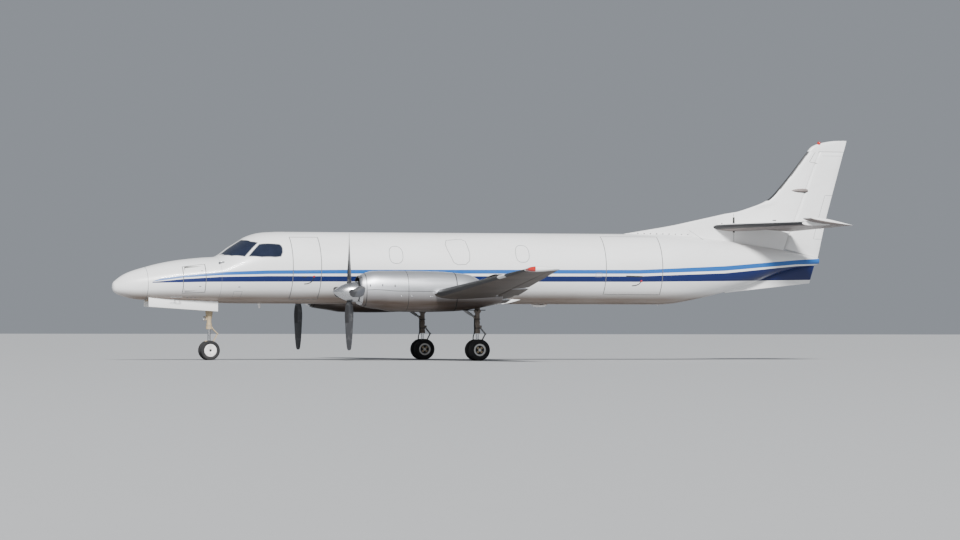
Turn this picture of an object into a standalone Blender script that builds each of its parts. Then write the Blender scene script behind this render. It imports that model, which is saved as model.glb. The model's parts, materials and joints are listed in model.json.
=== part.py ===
"""Twin-turboprop commuter airliner in cargo fit, modelled at its real size.

Metres, +Z up, nose towards -X, port side towards -Y. The origin is on the ground,
midway between the nose tip and the rudder's trailing edge. A station is a distance
aft of the nose tip; an angle round the hull is measured from the crown, positive to port.
"""
import math

import bmesh
import bpy
from mathutils import Matrix, Vector

# Driving dimensions
LENGTH = 18.09
SPAN = 17.37
HULL_RADIUS = 0.838
WALL = 0.05
FLOOR_Z = 1.552
SEAM = 0.0003
DOOR_SEAM = 0.006
HINGE_SEAM = 0.0009
LUG_SEAM = 0.0006
BORE_SEAM = 0.0003
PORT = -1
STARBOARD = 1

# Hull lines: station with height or half-width
TOP_LINE = ((0.0, 1.703), (0.013, 1.782), (0.077, 1.849), (0.205, 1.947), (0.35, 2.024),
            (0.53, 2.089), (0.768, 2.158), (1.058, 2.233), (1.351, 2.292), (1.642, 2.335),
            (2.172, 2.387), (2.4, 2.4), (2.78, 2.634), (3.056, 2.803), (3.162, 2.867),
            (3.284, 2.912), (3.438, 2.955), (3.592, 2.976), (3.853, 2.99), (3.95, 2.994),
            (13.3, 2.994), (14.0, 2.955), (14.7, 2.88), (15.6, 2.765), (16.57, 2.62),
            (17.37, 2.44))
BOTTOM_LINE = ((0.0, 1.703), (0.013, 1.624), (0.077, 1.553), (0.167, 1.509), (0.315, 1.461),
               (0.495, 1.42), (0.733, 1.395), (2.549, 1.33), (2.813, 1.321), (3.2, 1.318),
               (13.3, 1.318), (13.6, 1.335), (13.933, 1.388), (14.697, 1.55),
               (15.616, 1.813), (16.233, 2.034), (16.818, 2.182), (17.37, 2.3))
WIDTH_LINE = ((0.0, 0.0), (0.013, 0.08), (0.077, 0.15), (0.205, 0.24), (0.35, 0.305),
              (0.53, 0.365), (0.768, 0.43), (1.058, 0.5), (1.351, 0.56), (1.642, 0.62),
              (2.172, 0.7), (2.4, 0.735), (2.78, 0.785), (3.056, 0.81), (3.44, 0.83),
              (3.95, 0.838), (13.3, 0.838), (13.933, 0.775), (14.697, 0.655),
              (15.616, 0.47), (16.233, 0.34), (16.818, 0.235), (17.37, 0.1))
WAIST_LINE = ((0.0, 1.703), (0.53, 1.74), (1.058, 1.8), (1.642, 1.88), (2.4, 1.98),
              (3.056, 2.09), (3.6, 2.156), (13.3, 2.156), (14.697, 2.215), (15.616, 2.29),
              (16.818, 2.4), (17.37, 2.375))
HULL_SIDES = 32
UNDERFLOOR_POINTS = slice(13, 20)
CONE_WALL = 0.03

# Hull sections
RADOME_END = 0.75
NOSE_END = 2.4
COCKPIT_END = 3.95
FORWARD_END = 5.35
MID_END = 11.45
REAR_END = 13.55
CONE_END = 17.37
CONE_STATIONS = (REAR_END + SEAM, 13.933, 14.697, 15.616, 16.233, 16.818, CONE_END)

# Doors: station range, crown-side angle, keel-side angle
AIRSTAIR = (4.124, 4.787, 32.8, 150.0)
CARGO_DOOR = (11.763, 13.149, 24.6, 135.6)
NOSE_HATCH = (1.564, 2.063, 50.0, 127.0)
NOSE_HATCH_DEPTH = 0.03

# Nose gear bay and the baggage bay above it
BAY_START, BAY_END = 0.84, 2.385
BAY_HALF_WIDTH, BAY_TOP_Z = 0.215, 1.72
HOLD_FLOOR_Z, HOLD_TOP_Z = 1.8, 2.17

# Wing
WING_ROOT_LE = 6.792
WING_LE_SLOPE = 0.0684
WING_ROOT_TE = 9.36
WING_TE_SLOPE = 0.143
WING_ROOT_Z = 1.309
WING_DIHEDRAL = 0.0862
ROOT_THICKNESS, TIP_THICKNESS = 0.15, 0.115
CAMBER = 0.011
CHORD_STEPS = (1.0, 0.88, 0.75, 0.6, 0.45, 0.3, 0.18, 0.08, 0.02, 0.0)
HINGE_CHORD = 0.765
FLAP_INNER = (0.98, 1.74)
FLAP_OUTER = (2.82, 4.33)
AILERON = (4.38, 8.42)
FLAP_DROOP = math.radians(5.0)
FLAP_HINGE_DROP = 0.14
SURFACE_CLEARANCE = 0.008
END_CLEARANCE = 0.014
FLAP_END_FLARE = 0.03
AILERON_LUGS = (4.7, 6.4, 8.1)
FLAP_BRACKETS = {"flap_inner": (1.1, 1.62), "flap_outer": (2.98, 4.15)}
BRACKET_THICKNESS = 0.012
ELEVATOR_LUGS = (0.4, 1.2, 2.05)
RUDDER_LUGS = (2.8, 3.9, 4.8)

# Tail
TAILPLANE_HALF_SPAN = 2.43
TAILPLANE_ROOT_LE, TAILPLANE_TIP_LE = 14.66, 16.3
TAILPLANE_ROOT_TE, TAILPLANE_TIP_TE = 16.57, 17.36
TAILPLANE_ROOT_Z, TAILPLANE_TIP_Z = 3.17, 3.247
TAILPLANE_THICKNESS = 0.1
ELEVATOR_CHORD = 0.66
ELEVATOR_DROOP = math.radians(10.0)
HORN_SPAN = 0.2
FIN_PROFILE = ((12.383, 2.9), (12.383, 2.985), (13.03, 3.094), (13.63, 3.195),
               (14.084, 3.291), (15.175, 3.53), (15.25, 3.533), (15.6, 3.632), (15.87, 3.727),
               (16.06, 3.82), (16.18, 3.915), (16.36, 4.108), (16.61, 4.398), (17.097, 5.004),
               (17.189, 5.107), (17.35, 5.183), (17.57, 5.233), (17.79, 5.262), (18.09, 5.27))
RUDDER_HINGE_LOW = (16.57, 2.635)
RUDDER_HINGE_HIGH = (17.335, 4.721)
RUDDER_FOOT_Z, RUDDER_FOOT_SLOPE = 2.64, 0.235
RUDDER_TOP_GAP = 0.012
RUDDER_TOP_Z = 5.004
FIN_TE = ((17.361, 2.442), (17.572, 3.399), (18.09, 5.253))
FIN_HALF_THICKNESS = ((2.6, 0.105), (3.2, 0.1), (4.1, 0.08), (5.0, 0.052), (5.27, 0.03))
RUDDER_NOSE_CLEARANCE = 0.012
VENTRAL_PROFILE = ((14.95, 1.7), (15.003, 1.601), (15.618, 1.67), (17.142, 1.838),
                   (17.267, 2.256), (17.2, 2.4), (15.6, 2.0))
VENTRAL_THICKNESS = 0.05

# Engines and propellers
ENGINE_Y = 2.285
THRUST_Z = 1.582
PROP_STATION = 5.06
PROP_RADIUS = 1.345
SPINNER_TIP, SPINNER_BASE = 4.659, 5.236
SPINNER_RADIUS = 0.238
SPINNER_POINT = 2.2
BLADES = 4
COWL_START, COWL_END, NACELLE_END = 5.25, 7.63, 8.69
COWL_TOP = ((5.25, 1.951), (5.46, 2.032), (5.62, 2.068), (6.276, 2.075), (7.189, 2.06),
            (7.63, 2.027), (7.935, 1.984), (8.138, 1.879), (8.4, 1.76), (8.69, 1.62))
COWL_BOTTOM = ((5.25, 1.304), (5.416, 1.236), (5.798, 1.179), (6.081, 1.134),
               (6.83, 1.123), (7.567, 1.143), (7.962, 1.184), (8.4, 1.265), (8.69, 1.335))
COWL_WIDTH = ((5.25, 0.285), (5.416, 0.34), (5.62, 0.385), (6.081, 0.43), (6.83, 0.45),
              (7.63, 0.43), (8.138, 0.38), (8.4, 0.34), (8.69, 0.26))
COWL_SIDES = 20
COWL_SQUARENESS = 2.5
COWL_WALL = 0.025
FIREWALL = 6.72
NOTCH_SPANS = (1.2, 2.4, 4.355)
ENGINE_BLOCK = (5.4, FIREWALL - 2 * SEAM, 0.22, 1.36, 1.88)
SHAFT_RADIUS = 0.1
EXHAUST_RADIUS = 0.15

# Landing gear
MAIN_STATION, MAIN_Y = 8.14, 2.285
MAIN_WHEEL_RADIUS, MAIN_TYRE_WIDTH, MAIN_TWIN = 0.2475, 0.17, 0.15
NOSE_STATION = 2.31
NOSE_WHEEL_RADIUS, NOSE_TYRE_WIDTH, NOSE_TWIN = 0.2285, 0.12, 0.105
WHEEL_SIDES = 18

FINISHES = {
    "paint_white": ((0.83, 0.84, 0.85), 0.3, 0.0),
    "aluminium": ((0.6, 0.61, 0.63), 0.35, 0.9),
    "rubber": ((0.03, 0.03, 0.032), 0.8, 0.0),
    "steel": ((0.5, 0.51, 0.52), 0.3, 1.0),
    "gear_tan": ((0.48, 0.42, 0.33), 0.5, 0.2),
    "exhaust": ((0.08, 0.075, 0.075), 0.55, 0.8),
    "glass": ((0.05, 0.07, 0.08), 0.08, 0.0),
    "interior": ((0.3, 0.31, 0.32), 0.75, 0.0),
    "blade": ((0.1, 0.1, 0.105), 0.45, 0.3),
}


def clear_scene():
    for obj in list(bpy.data.objects):
        bpy.data.objects.remove(obj)


def finish(name):
    found = bpy.data.materials.get(name)
    if found:
        return found
    colour, roughness, metallic = FINISHES[name]
    made = bpy.data.materials.new(name)
    made.use_nodes = True
    shader = made.node_tree.nodes["Principled BSDF"]
    shader.inputs["Base Color"].default_value = (*colour, 1.0)
    shader.inputs["Roughness"].default_value = roughness
    shader.inputs["Metallic"].default_value = metallic
    made.diffuse_color = (*colour, 1.0)
    return made


def at(station, y, z):
    return Vector((station - LENGTH / 2, y, z))


def line_at(line, station):
    """Height or width of a line of (station, value) points."""
    if station <= line[0][0]:
        return line[0][1]
    for (s0, v0), (s1, v1) in zip(line, line[1:]):
        if station <= s1:
            return v0 + (v1 - v0) * (station - s0) / (s1 - s0)
    return line[-1][1]


def mix(first, second, share):
    return first + (second - first) * share


# Mesh helpers

def add_object(name, mesh, finish_name, smooth_angle=35.0):
    obj = bpy.data.objects.new(name, mesh)
    bpy.context.scene.collection.objects.link(obj)
    mesh.materials.append(finish(finish_name))
    mesh.shade_smooth()
    mesh.set_sharp_from_angle(angle=math.radians(smooth_angle))
    return obj


def mesh_from_bmesh(name, bm):
    bmesh.ops.remove_doubles(bm, verts=bm.verts, dist=1e-6)
    bmesh.ops.recalc_face_normals(bm, faces=bm.faces)
    mesh = bpy.data.meshes.new(name)
    bm.to_mesh(mesh)
    bm.free()
    return mesh


def in_triangles(obj):
    """The object with its faces split into triangles, so that what is cut of them is flat."""
    bm = bmesh.new()
    bm.from_mesh(obj.data)
    bmesh.ops.triangulate(bm, faces=bm.faces)
    bm.to_mesh(obj.data)
    bm.free()
    return obj


def loft(name, rings, finish_name, closed=False):
    """Skin through rings of equal count; ends are capped, or joined when closed."""
    bm = bmesh.new()
    loops = [[bm.verts.new(point) for point in ring] for ring in rings]
    pairs = list(zip(loops, loops[1:]))
    if closed:
        pairs.append((loops[-1], loops[0]))
    for near, far in pairs:
        count = len(near)
        for i in range(count):
            j = (i + 1) % count
            bm.faces.new((near[i], near[j], far[j], far[i]))
    if not closed:
        bm.faces.new(list(reversed(loops[0])))
        bm.faces.new(loops[-1])
    return add_object(name, mesh_from_bmesh(name, bm), finish_name)


def slab(name, layers, finish_name):
    """Closed panel through layers of points, each a grid of the same size."""
    bm = bmesh.new()
    grids = [[[bm.verts.new(point) for point in row] for row in grid] for grid in layers]
    rows, columns = len(layers[0]), len(layers[0][0])
    for grid in (grids[0], grids[-1]):
        for i in range(rows - 1):
            for k in range(columns - 1):
                bm.faces.new((grid[i][k], grid[i][k + 1], grid[i + 1][k + 1], grid[i + 1][k]))
    for top, low in zip(grids, grids[1:]):
        for i in range(rows - 1):
            for k in (0, columns - 1):
                bm.faces.new((top[i][k], top[i + 1][k], low[i + 1][k], low[i][k]))
        for k in range(columns - 1):
            for i in (0, rows - 1):
                bm.faces.new((top[i][k], top[i][k + 1], low[i][k + 1], low[i][k]))
    return add_object(name, mesh_from_bmesh(name, bm), finish_name)


def turned(name, profile, centre, axis, sides, finish_name, closed=True):
    """Solid of revolution of (along, radius) points about an axis through centre."""
    axis = axis.normalized()
    side = axis.orthogonal().normalized()
    if abs(axis.z) < 0.5:
        side = Vector((0, 0, 1)) - axis * axis.z
        side.normalize()
    other = axis.cross(side)
    bm = bmesh.new()
    loops = []
    for k in range(sides):
        angle = 2 * math.pi * (k + 0.5) / sides
        out = side * math.cos(angle) + other * math.sin(angle)
        loops.append([bm.verts.new(centre + axis * a + out * r) for a, r in profile])
    count = len(profile)
    for k in range(sides):
        near, far = loops[k], loops[(k + 1) % sides]
        last = count if closed else count - 1
        for i in range(last):
            j = (i + 1) % count
            bm.faces.new((near[i], near[j], far[j], far[i]))
    bmesh.ops.remove_doubles(bm, verts=bm.verts, dist=1e-6)
    bmesh.ops.dissolve_degenerate(bm, edges=bm.edges, dist=1e-6)
    return add_object(name, mesh_from_bmesh(name, bm), finish_name)


def box(name, low, high, finish_name, bevel=0.0):
    bm = bmesh.new()
    bmesh.ops.create_cube(bm, size=1.0)
    size = high - low
    middle = (high + low) / 2
    for vert in bm.verts:
        vert.co = Vector((vert.co.x * size.x, vert.co.y * size.y, vert.co.z * size.z)) + middle
    if bevel:
        bmesh.ops.bevel(bm, geom=bm.edges, offset=bevel, segments=1, affect="EDGES")
    return add_object(name, mesh_from_bmesh(name, bm), finish_name)


def rod(name, start, end, radius, finish_name, sides=12):
    length = (end - start).length
    profile = ((0.0, 0.0), (0.0, radius), (length, radius), (length, 0.0))
    return turned(name, profile, start, end - start, sides, finish_name, closed=False)


def combine(target, other, operation):
    """Boolean of target with other, which is kept as a guide."""
    other.hide_render = True
    other.display_type = "WIRE"
    modifier = target.modifiers.new(operation.title() + " " + other.name, "BOOLEAN")
    modifier.operation = operation
    modifier.object = other
    modifier.solver = "EXACT"


def cut(target, other):
    combine(target, other, "DIFFERENCE")


def join(target, others):
    for other in others:
        combine(target, other, "UNION")


def pivot(obj, point):
    """Move the object's origin to its joint's axis."""
    obj.data.transform(Matrix.Translation(-point))
    obj.location = point


def tilt(obj, point, axis, angle):
    """Turn a piece about its joint's axis to where it rests."""
    turn = Matrix.Translation(point) @ Matrix.Rotation(angle, 4, axis) @ Matrix.Translation(-point)
    obj.data.transform(turn)


# Hull

def on_hull(station, degrees, inset=0.0):
    """Point of the hull at an angle from the crown, inset from the skin."""
    waist = line_at(WAIST_LINE, station)
    angle = math.radians(degrees)
    if math.cos(angle) >= 0:
        rise = line_at(TOP_LINE, station) - waist
    else:
        rise = waist - line_at(BOTTOM_LINE, station)
    width = max(line_at(WIDTH_LINE, station) - inset, 0.001)
    rise = max(rise - inset, 0.001)
    return at(station, -width * math.sin(angle), waist + rise * math.cos(angle))


def hull_ring(station, inset=0.0, floor=None):
    ring = []
    for k in range(HULL_SIDES):
        point = on_hull(station, 360.0 * k / HULL_SIDES, inset)
        if floor is not None:
            point.z = max(point.z, floor)
        ring.append(point)
    return ring


def hull_stations(start, end):
    inner = [s for s, _ in TOP_LINE + BOTTOM_LINE[12:] if start + 0.02 < s < end - 0.02]
    kept = [start]
    for station in sorted(inner):
        if station - kept[-1] > 0.1:
            kept.append(station)
    return kept + [end]


def hull_solid(name, stations, finish_name="paint_white", grow=0.0):
    return loft(name, [hull_ring(s, -grow) for s in stations], finish_name)


def hull_tube(name, stations, floor):
    outer = [hull_ring(s) for s in stations]
    inner = [hull_ring(s, WALL, floor) for s in reversed(stations)]
    return loft(name, outer + inner, "paint_white", closed=True)


def hull_panel(name, rows, insets, finish_name):
    """Panel of the hull through rows of (station, angle) points.

    Its layers lie at the given insets from the skin.
    """
    layers = [[[on_hull(s, a, inset) for s, a in row] for row in rows] for inset in insets]
    return slab(name, layers, finish_name)


def hull_patch(name, corners, insets, finish_name, steps):
    """Panel of the hull between four (station, angle) corners, in order round it."""
    row_count, column_count = steps
    rows = []
    for i in range(row_count + 1):
        share = i / row_count
        start = [mix(corners[0][n], corners[3][n], share) for n in (0, 1)]
        end = [mix(corners[1][n], corners[2][n], share) for n in (0, 1)]
        rows.append([(mix(start[0], end[0], k / column_count),
                      mix(start[1], end[1], k / column_count))
                     for k in range(column_count + 1)])
    return hull_panel(name, rows, insets, finish_name)


def halved(path):
    """The path with a point added in the middle of each of its steps."""
    finer = [path[0]]
    for first, second in zip(path, path[1:]):
        finer += [tuple(mix(a, b, 0.5) for a, b in zip(first, second)), second]
    return finer


def pane_rows(upper, lower, turn, shrink=0.0):
    """Rows of (station, angle) points from a pane's upper edge to its lower one.

    All are drawn in by a share of the way to the pane's middle.
    """
    rows = []
    for i in range(PANE_ROWS + 1):
        share = i / PANE_ROWS
        rows.append([(mix(s0, s1, share), turn * mix(a0, a1, share))
                     for (s0, a0), (s1, a1) in zip(halved(upper), halved(lower))])
    spots = [spot for row in rows for spot in row]
    middle = [sum(spot[n] for spot in spots) / len(spots) for n in (0, 1)]
    return [[(mix(s, middle[0], shrink), mix(a, middle[1], shrink)) for s, a in row]
            for row in rows]


def door_corners(s0, s1, crown, keel, turn=1):
    return [(s0, turn * crown), (s1, turn * crown), (s1, turn * keel), (s0, turn * keel)]


def doorway_corners(s0, s1, crown, keel, hinge, turn=1):
    """Corners of a door's opening: a fine seam at the hinge, a wider one elsewhere."""
    wide, fine = (math.degrees(seam / HULL_RADIUS) for seam in (DOOR_SEAM, HINGE_SEAM))
    up, down = (fine, wide) if hinge == "crown" else (wide, fine)
    return door_corners(s0 - DOOR_SEAM, s1 + DOOR_SEAM, crown - up, keel + down, turn)


def build_nose():
    nose_rings = [s for s, _ in TOP_LINE[1:7]] + [RADOME_END]
    nose_rings = sorted(s for s in nose_rings if s <= RADOME_END)
    tip = [at(0.0, 0.0, TOP_LINE[0][1])] * HULL_SIDES
    rings = [tip] + [hull_ring(s) for s in nose_rings]
    loft("radome", rings, "paint_white")

    section = hull_solid("nose_section", hull_stations(RADOME_END + SEAM, NOSE_END - SEAM))
    cut(section, box("gear_bay_cutter", at(BAY_START, -BAY_HALF_WIDTH, 1.0),
                     at(BAY_END, BAY_HALF_WIDTH, BAY_TOP_Z), "interior"))
    s0, s1, crown, keel = NOSE_HATCH
    inner = 0.03
    cut(section, box("hold_cutter", at(s0 + inner, -1.0, HOLD_FLOOR_Z),
                     at(s1 - inner, 1.0, HOLD_TOP_Z), "interior"))
    for side, word in ((PORT, "left"), (STARBOARD, "right")):
        low = at(s0 + inner, min(side * 0.3, side), 1.62)
        high = at(s1 - inner, max(side * 0.3, side), HOLD_FLOOR_Z + 0.01)
        cut(section, box("pocket_cutter_" + word, low, high, "interior"))
    for turn, word in ((1, "left"), (-1, "right")):
        corners = door_corners(*NOSE_HATCH, turn)
        doorway = doorway_corners(*NOSE_HATCH, "crown", turn)
        cut(section, hull_patch("hatch_cutter_" + word, doorway,
                                (-0.05, 0.0, NOSE_HATCH_DEPTH + DOOR_SEAM), "paint_white",
                                (6, 2)))
        hatch = hull_patch("nose_hatch_" + word, corners, (0.0, NOSE_HATCH_DEPTH),
                           "paint_white", (6, 2))
        pivot(hatch, on_hull((s0 + s1) / 2, turn * crown))


def nose_gear_doors():
    for side, word in ((PORT, "left"), (STARBOARD, "right")):
        inner, outer = sorted((side * 0.232, side * 0.25))
        rings = []
        for station, top, low in ((0.81, 1.5, 1.24), (2.465, 1.45, 1.131)):
            rings.append([at(station, inner, top), at(station, outer, top),
                          at(station, outer, low), at(station, inner, low)])
        door = loft("nose_gear_door_" + word, rings, "paint_white")
        line = [0.6] + hull_stations(RADOME_END + SEAM, NOSE_END - SEAM) + [2.59]
        cut(door, hull_solid("door_line_cutter_" + word, line, grow=2 * SEAM))


# Upper and lower edge of each pane: station, angle, and the share it is drawn in by
WINDSHIELD = (((3.035, 5.0), (3.072, 15.5), (3.19, 32.6), (3.335, 41.2)),
              ((2.535, 7.0), (2.575, 26.4), (2.71, 45.4), (2.987, 61.4)), 0.0045)
SIDE_WINDOW = (((3.36, 45.8), (3.58, 47.4), (3.828, 49.6), (3.874, 53.5), (3.886, 58.0)),
               ((3.07, 64.0), (3.378, 71.4), (3.7, 73.2), (3.83, 72.2), (3.88, 65.0)), 0.0055)
COCKPIT_STATIONS = (NOSE_END + SEAM, 2.59, 2.78, 3.056, 3.162, 3.284, 3.438, 3.62,
                    COCKPIT_END - SEAM)
PANE_DEPTH = 0.02
PANE_ROWS = 3


def build_cockpit():
    section = in_triangles(hull_tube("cockpit_section", COCKPIT_STATIONS, FLOOR_Z))
    panes = {"windshield": WINDSHIELD, "side_window": SIDE_WINDOW}
    for kind, (upper, lower, shrink) in panes.items():
        for turn, word in ((1, "left"), (-1, "right")):
            cutter = hull_panel(kind + "_cutter_" + word, pane_rows(upper, lower, turn),
                                (-0.03, 0.0, PANE_DEPTH, WALL + 0.03), "glass")
            cut(section, in_triangles(cutter))
            hull_panel(kind + "_" + word, pane_rows(upper, lower, turn, shrink),
                       (0.0, PANE_DEPTH), "glass")
    build_cockpit_fittings()


def build_cockpit_fittings():
    back, front = 2.98, 2.6
    profile = ((front, 1.8), (front, 2.3), (2.72, 2.38), (back, 2.36), (back, 1.95),
               (2.8, 1.8))
    rings = [[at(s, y, z) for s, z in profile] for y in (-0.5, 0.5)]
    panel = loft("instrument_panel", rings, "interior")
    pedestal = box("pedestal", at(2.62, -0.13, FLOOR_Z + SEAM), at(3.1, 0.13, 1.9), "interior")
    join(panel, [pedestal])
    for side, word in ((PORT, "left"), (STARBOARD, "right")):
        y = side * 0.33
        seat = box("pilot_seat_" + word, at(3.2, y - 0.22, 1.86), at(3.66, y + 0.22, 1.98),
                   "interior", bevel=0.02)
        back_rest = box("seat_back_" + word, at(3.6, y - 0.2, 1.9), at(3.72, y + 0.2, 2.62),
                        "interior", bevel=0.02)
        base = box("seat_base_" + word, at(3.28, y - 0.09, FLOOR_Z + SEAM),
                   at(3.58, y + 0.09, 1.9), "interior")
        join(seat, [back_rest, base])


def underfloor_ring(station):
    """Section of the space between the floor and the belly's skin."""
    return hull_ring(station, WALL)[UNDERFLOOR_POINTS]


def build_cabin():
    forward = hull_tube("forward_fuselage", [COCKPIT_END + SEAM, FORWARD_END - SEAM], FLOOR_Z)
    mid = hull_tube("mid_fuselage", [FORWARD_END + SEAM, MID_END - SEAM], FLOOR_Z)
    rear = hull_tube("rear_fuselage", [MID_END + SEAM, 13.3, REAR_END - SEAM], FLOOR_Z)
    cut(mid, wing_span_solid("wing_notch", (-1.2, 0.0, 1.2), grow=2 * SEAM))
    bay = [underfloor_ring(s) for s in (MID_END + 0.1, 13.3, REAR_END + 0.1)]
    cut(rear, loft("underfloor_bay_cutter", bay, "interior"))
    for name, door, shell in (("airstair_door", AIRSTAIR, forward),
                              ("cargo_door", CARGO_DOOR, rear)):
        s0, s1, crown, keel = door
        hinge = "keel" if name == "airstair_door" else "crown"
        cut(shell, hull_patch(name + "_cutter", doorway_corners(*door, hinge),
                              (-0.05, 0.0, WALL + DOOR_SEAM), "paint_white", (11, 1)))
        panel = hull_patch(name, door_corners(*door), (0.0, WALL), "paint_white", (11, 1))
        pivot(panel, on_hull((s0 + s1) / 2, keel if hinge == "keel" else crown))


def build_tail_cone():
    cone = hull_solid("tail_cone", CONE_STATIONS)
    mouth = [REAR_END - 0.1, *CONE_STATIONS[1:-2]]
    cut(cone, hull_solid("tail_cone_void", mouth, "interior", grow=-CONE_WALL))


# Wing

def wing_le(y):
    return WING_ROOT_LE + WING_LE_SLOPE * abs(y)


def wing_te(y):
    return WING_ROOT_TE - WING_TE_SLOPE * abs(y)


def wing_z(y):
    return WING_ROOT_Z + WING_DIHEDRAL * abs(y)


def half_thickness(share, ratio):
    poly = (0.2969 * math.sqrt(share) - 0.126 * share - 0.3516 * share ** 2
            + 0.2843 * share ** 3 - 0.1015 * share ** 4)
    return 5 * ratio * poly


def camber_line(share):
    peak = 0.4
    if share < peak:
        return CAMBER / peak ** 2 * (2 * peak * share - share ** 2)
    return CAMBER / (1 - peak) ** 2 * (1 - 2 * peak + 2 * peak * share - share ** 2)


def wing_point(y, share, upper, grow=0.0, thin=1.0):
    chord = wing_te(y) - wing_le(y)
    ratio = mix(ROOT_THICKNESS, TIP_THICKNESS, abs(y) / (SPAN / 2)) * thin
    lift = half_thickness(share, ratio) * chord + grow
    z = wing_z(y) + camber_line(share) * chord + (lift if upper else -lift)
    return at(wing_le(y) + share * chord + grow * (2 * share - 1), y, z)


def wing_ring(y, grow=0.0, thin=1.0):
    upper = [wing_point(y, share, True, grow, thin) for share in CHORD_STEPS]
    lower = [wing_point(y, share, False, grow, thin) for share in reversed(CHORD_STEPS[:-1])]
    return upper + lower


def wing_span_solid(name, spans, grow=0.0):
    return loft(name, [wing_ring(y, grow) for y in spans], "paint_white")


def hinge_point(y, drop=0.0):
    upper = wing_point(y, HINGE_CHORD, True)
    lower = wing_point(y, HINGE_CHORD, False)
    return (upper + lower) / 2 - Vector((0, 0, drop))


def nose_radius(y):
    return (wing_point(y, HINGE_CHORD, True) - wing_point(y, HINGE_CHORD, False)).length / 2


NOSE_ANGLES = (60, 30, 0, -30, -60)


def round_nose(centre, radius, across, sweep=0.0, droop=0.0):
    """Arc about a hinge line, stretched so that it is round square to a swept line.

    One of its corners faces the fixed surface when the piece rests at the droop.
    """
    reach = radius / math.cos(sweep)
    arc = []
    for angle in [math.radians(90), *(math.radians(a) - droop for a in NOSE_ANGLES),
                  math.radians(-90)]:
        arc.append(centre + Vector((-reach * math.cos(angle), 0, 0))
                   + across * radius * math.sin(angle))
    return arc


def surface_ring(y):
    """Section of a flap or aileron: round nose on the hinge line, blunt trailing edge."""
    ring = [wing_point(y, share, True) for share in (1.0, 0.88)]
    ring += round_nose(hinge_point(y), nose_radius(y), Vector((0, 0, 1)))
    return ring + [wing_point(y, share, False) for share in (0.88, 1.0)]


def hinge_lug(name, hinge_line, spans, across, half, depth, finish_name):
    """Bearing block on a fixed surface, reaching back to the round nose it carries."""
    rings = []
    for span in spans:
        centre, reach = hinge_line(span)
        ahead = Vector((-1, 0, 0))
        near, far = centre + ahead * (reach + LUG_SEAM), centre + ahead * (reach + depth)
        rings.append([near - across * half, far - across * half,
                      far + across * half, near + across * half])
    return loft(name, rings, finish_name)


def wing_hinge_line(y):
    return hinge_point(y), nose_radius(y)


def bracket_plate(name, hinge, axis, outline, offset):
    """Thin plate square to a hinge's axis, its outline in (aft, up) from the hinge."""
    axis = axis.normalized()
    aft = (Vector((1, 0, 0)) - axis * axis.x).normalized()
    up = aft.cross(axis).normalized()
    if up.z < 0:
        up.negate()
    rings = []
    for shift in (offset, offset + BRACKET_THICKNESS):
        rings.append([hinge + axis * shift + aft * a + up * u for a, u in outline])
    return loft(name, rings, "aluminium")


def flap_bracket(kind, word, index, y, axis, wing, flap):
    """Two plates side by side on the hinge pin: one on the wing, one on the flap."""
    drop, radius = FLAP_HINGE_DROP, nose_radius(y)
    hinge = hinge_point(y, drop)
    foot = drop - radius
    arm = ((-0.025, -0.02), (0.02, -0.02), (0.02, 0.012), (-radius * 0.9, foot + 0.03),
           (-radius * 1.5, foot + 0.06), (-radius * 2.6, foot + 0.05), (-radius * 2.6, foot))
    tail = ((-0.02, -0.016), (0.02, -0.016), (radius, foot + 0.04), (0.0, foot + 0.05))
    label = "_%d_%s" % (index, word)
    join(wing, [bracket_plate(kind + "_arm" + label, hinge, axis, arm,
                              -BRACKET_THICKNESS - LUG_SEAM)])
    plate = bracket_plate(kind + "_tail" + label, hinge, axis, tail, 0.0)
    tilt(plate, hinge, axis, FLAP_DROOP)
    join(flap, [plate])


def cove_cutter(name, y0, y1, flare):
    """Cutter for a surface's bay, its outer end leaning outwards by the flare at the back."""
    rings = []
    for y, lean in ((y0, 0.0), (y1, flare)):
        front = hinge_point(y).x - nose_radius(y) - SURFACE_CLEARANCE
        back = at(wing_te(y), 0, 0).x + 0.2
        low, high = wing_z(y) - 0.5, wing_z(y) + 0.5
        rings.append([Vector((front, y, low)), Vector((back, y + lean, low)),
                      Vector((back, y + lean, high)), Vector((front, y, high))])
    return loft(name, rings, "paint_white")


def build_wing(side, word):
    half = SPAN / 2
    spans = (0.0 + SEAM, 1.2, 2.4, 4.355, 6.4, 8.45, half - 0.09, half - 0.02, half)
    rings = []
    for y in spans:
        thin = {half: 0.25, half - 0.02: 0.75}.get(y, 1.0)
        rings.append(wing_ring(side * y, thin=thin))
    wing = loft("wing_" + word, rings, "aluminium")
    for kind, span in (("flap_inner", FLAP_INNER), ("flap_outer", FLAP_OUTER),
                       ("aileron", AILERON)):
        y0, y1 = side * span[0], side * span[1]
        cove_end = AILERON[0] if kind == "flap_outer" else span[1] + END_CLEARANCE
        flare = 0.0 if kind == "aileron" else FLAP_END_FLARE
        cut(wing, cove_cutter(kind + "_cove_" + word, y0 - side * END_CLEARANCE,
                              side * cove_end, side * flare))
        middle = (y0 + y1) / 2
        surface = loft(kind + "_" + word, [surface_ring(y) for y in (y0, middle, y1)],
                       "aluminium")
        if kind == "aileron":
            pivot(surface, hinge_point(middle))
            lugs = [hinge_lug("aileron_lug_%d_%s" % (i, word), wing_hinge_line,
                              (side * (y - 0.02), side * (y + 0.02)), Vector((0, 0, 1)), 0.012,
                              0.04, "aluminium") for i, y in enumerate(AILERON_LUGS)]
            join(wing, lugs)
        else:
            hinge = hinge_point(middle, FLAP_HINGE_DROP)
            axis = (hinge_point(y1) - hinge_point(y0)) * side
            tilt(surface, hinge, axis, FLAP_DROOP)
            for i, y in enumerate(FLAP_BRACKETS[kind]):
                flap_bracket(kind, word, i, side * y, axis, wing, surface)
            pivot(surface, hinge)
    return wing


# Tail

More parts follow.
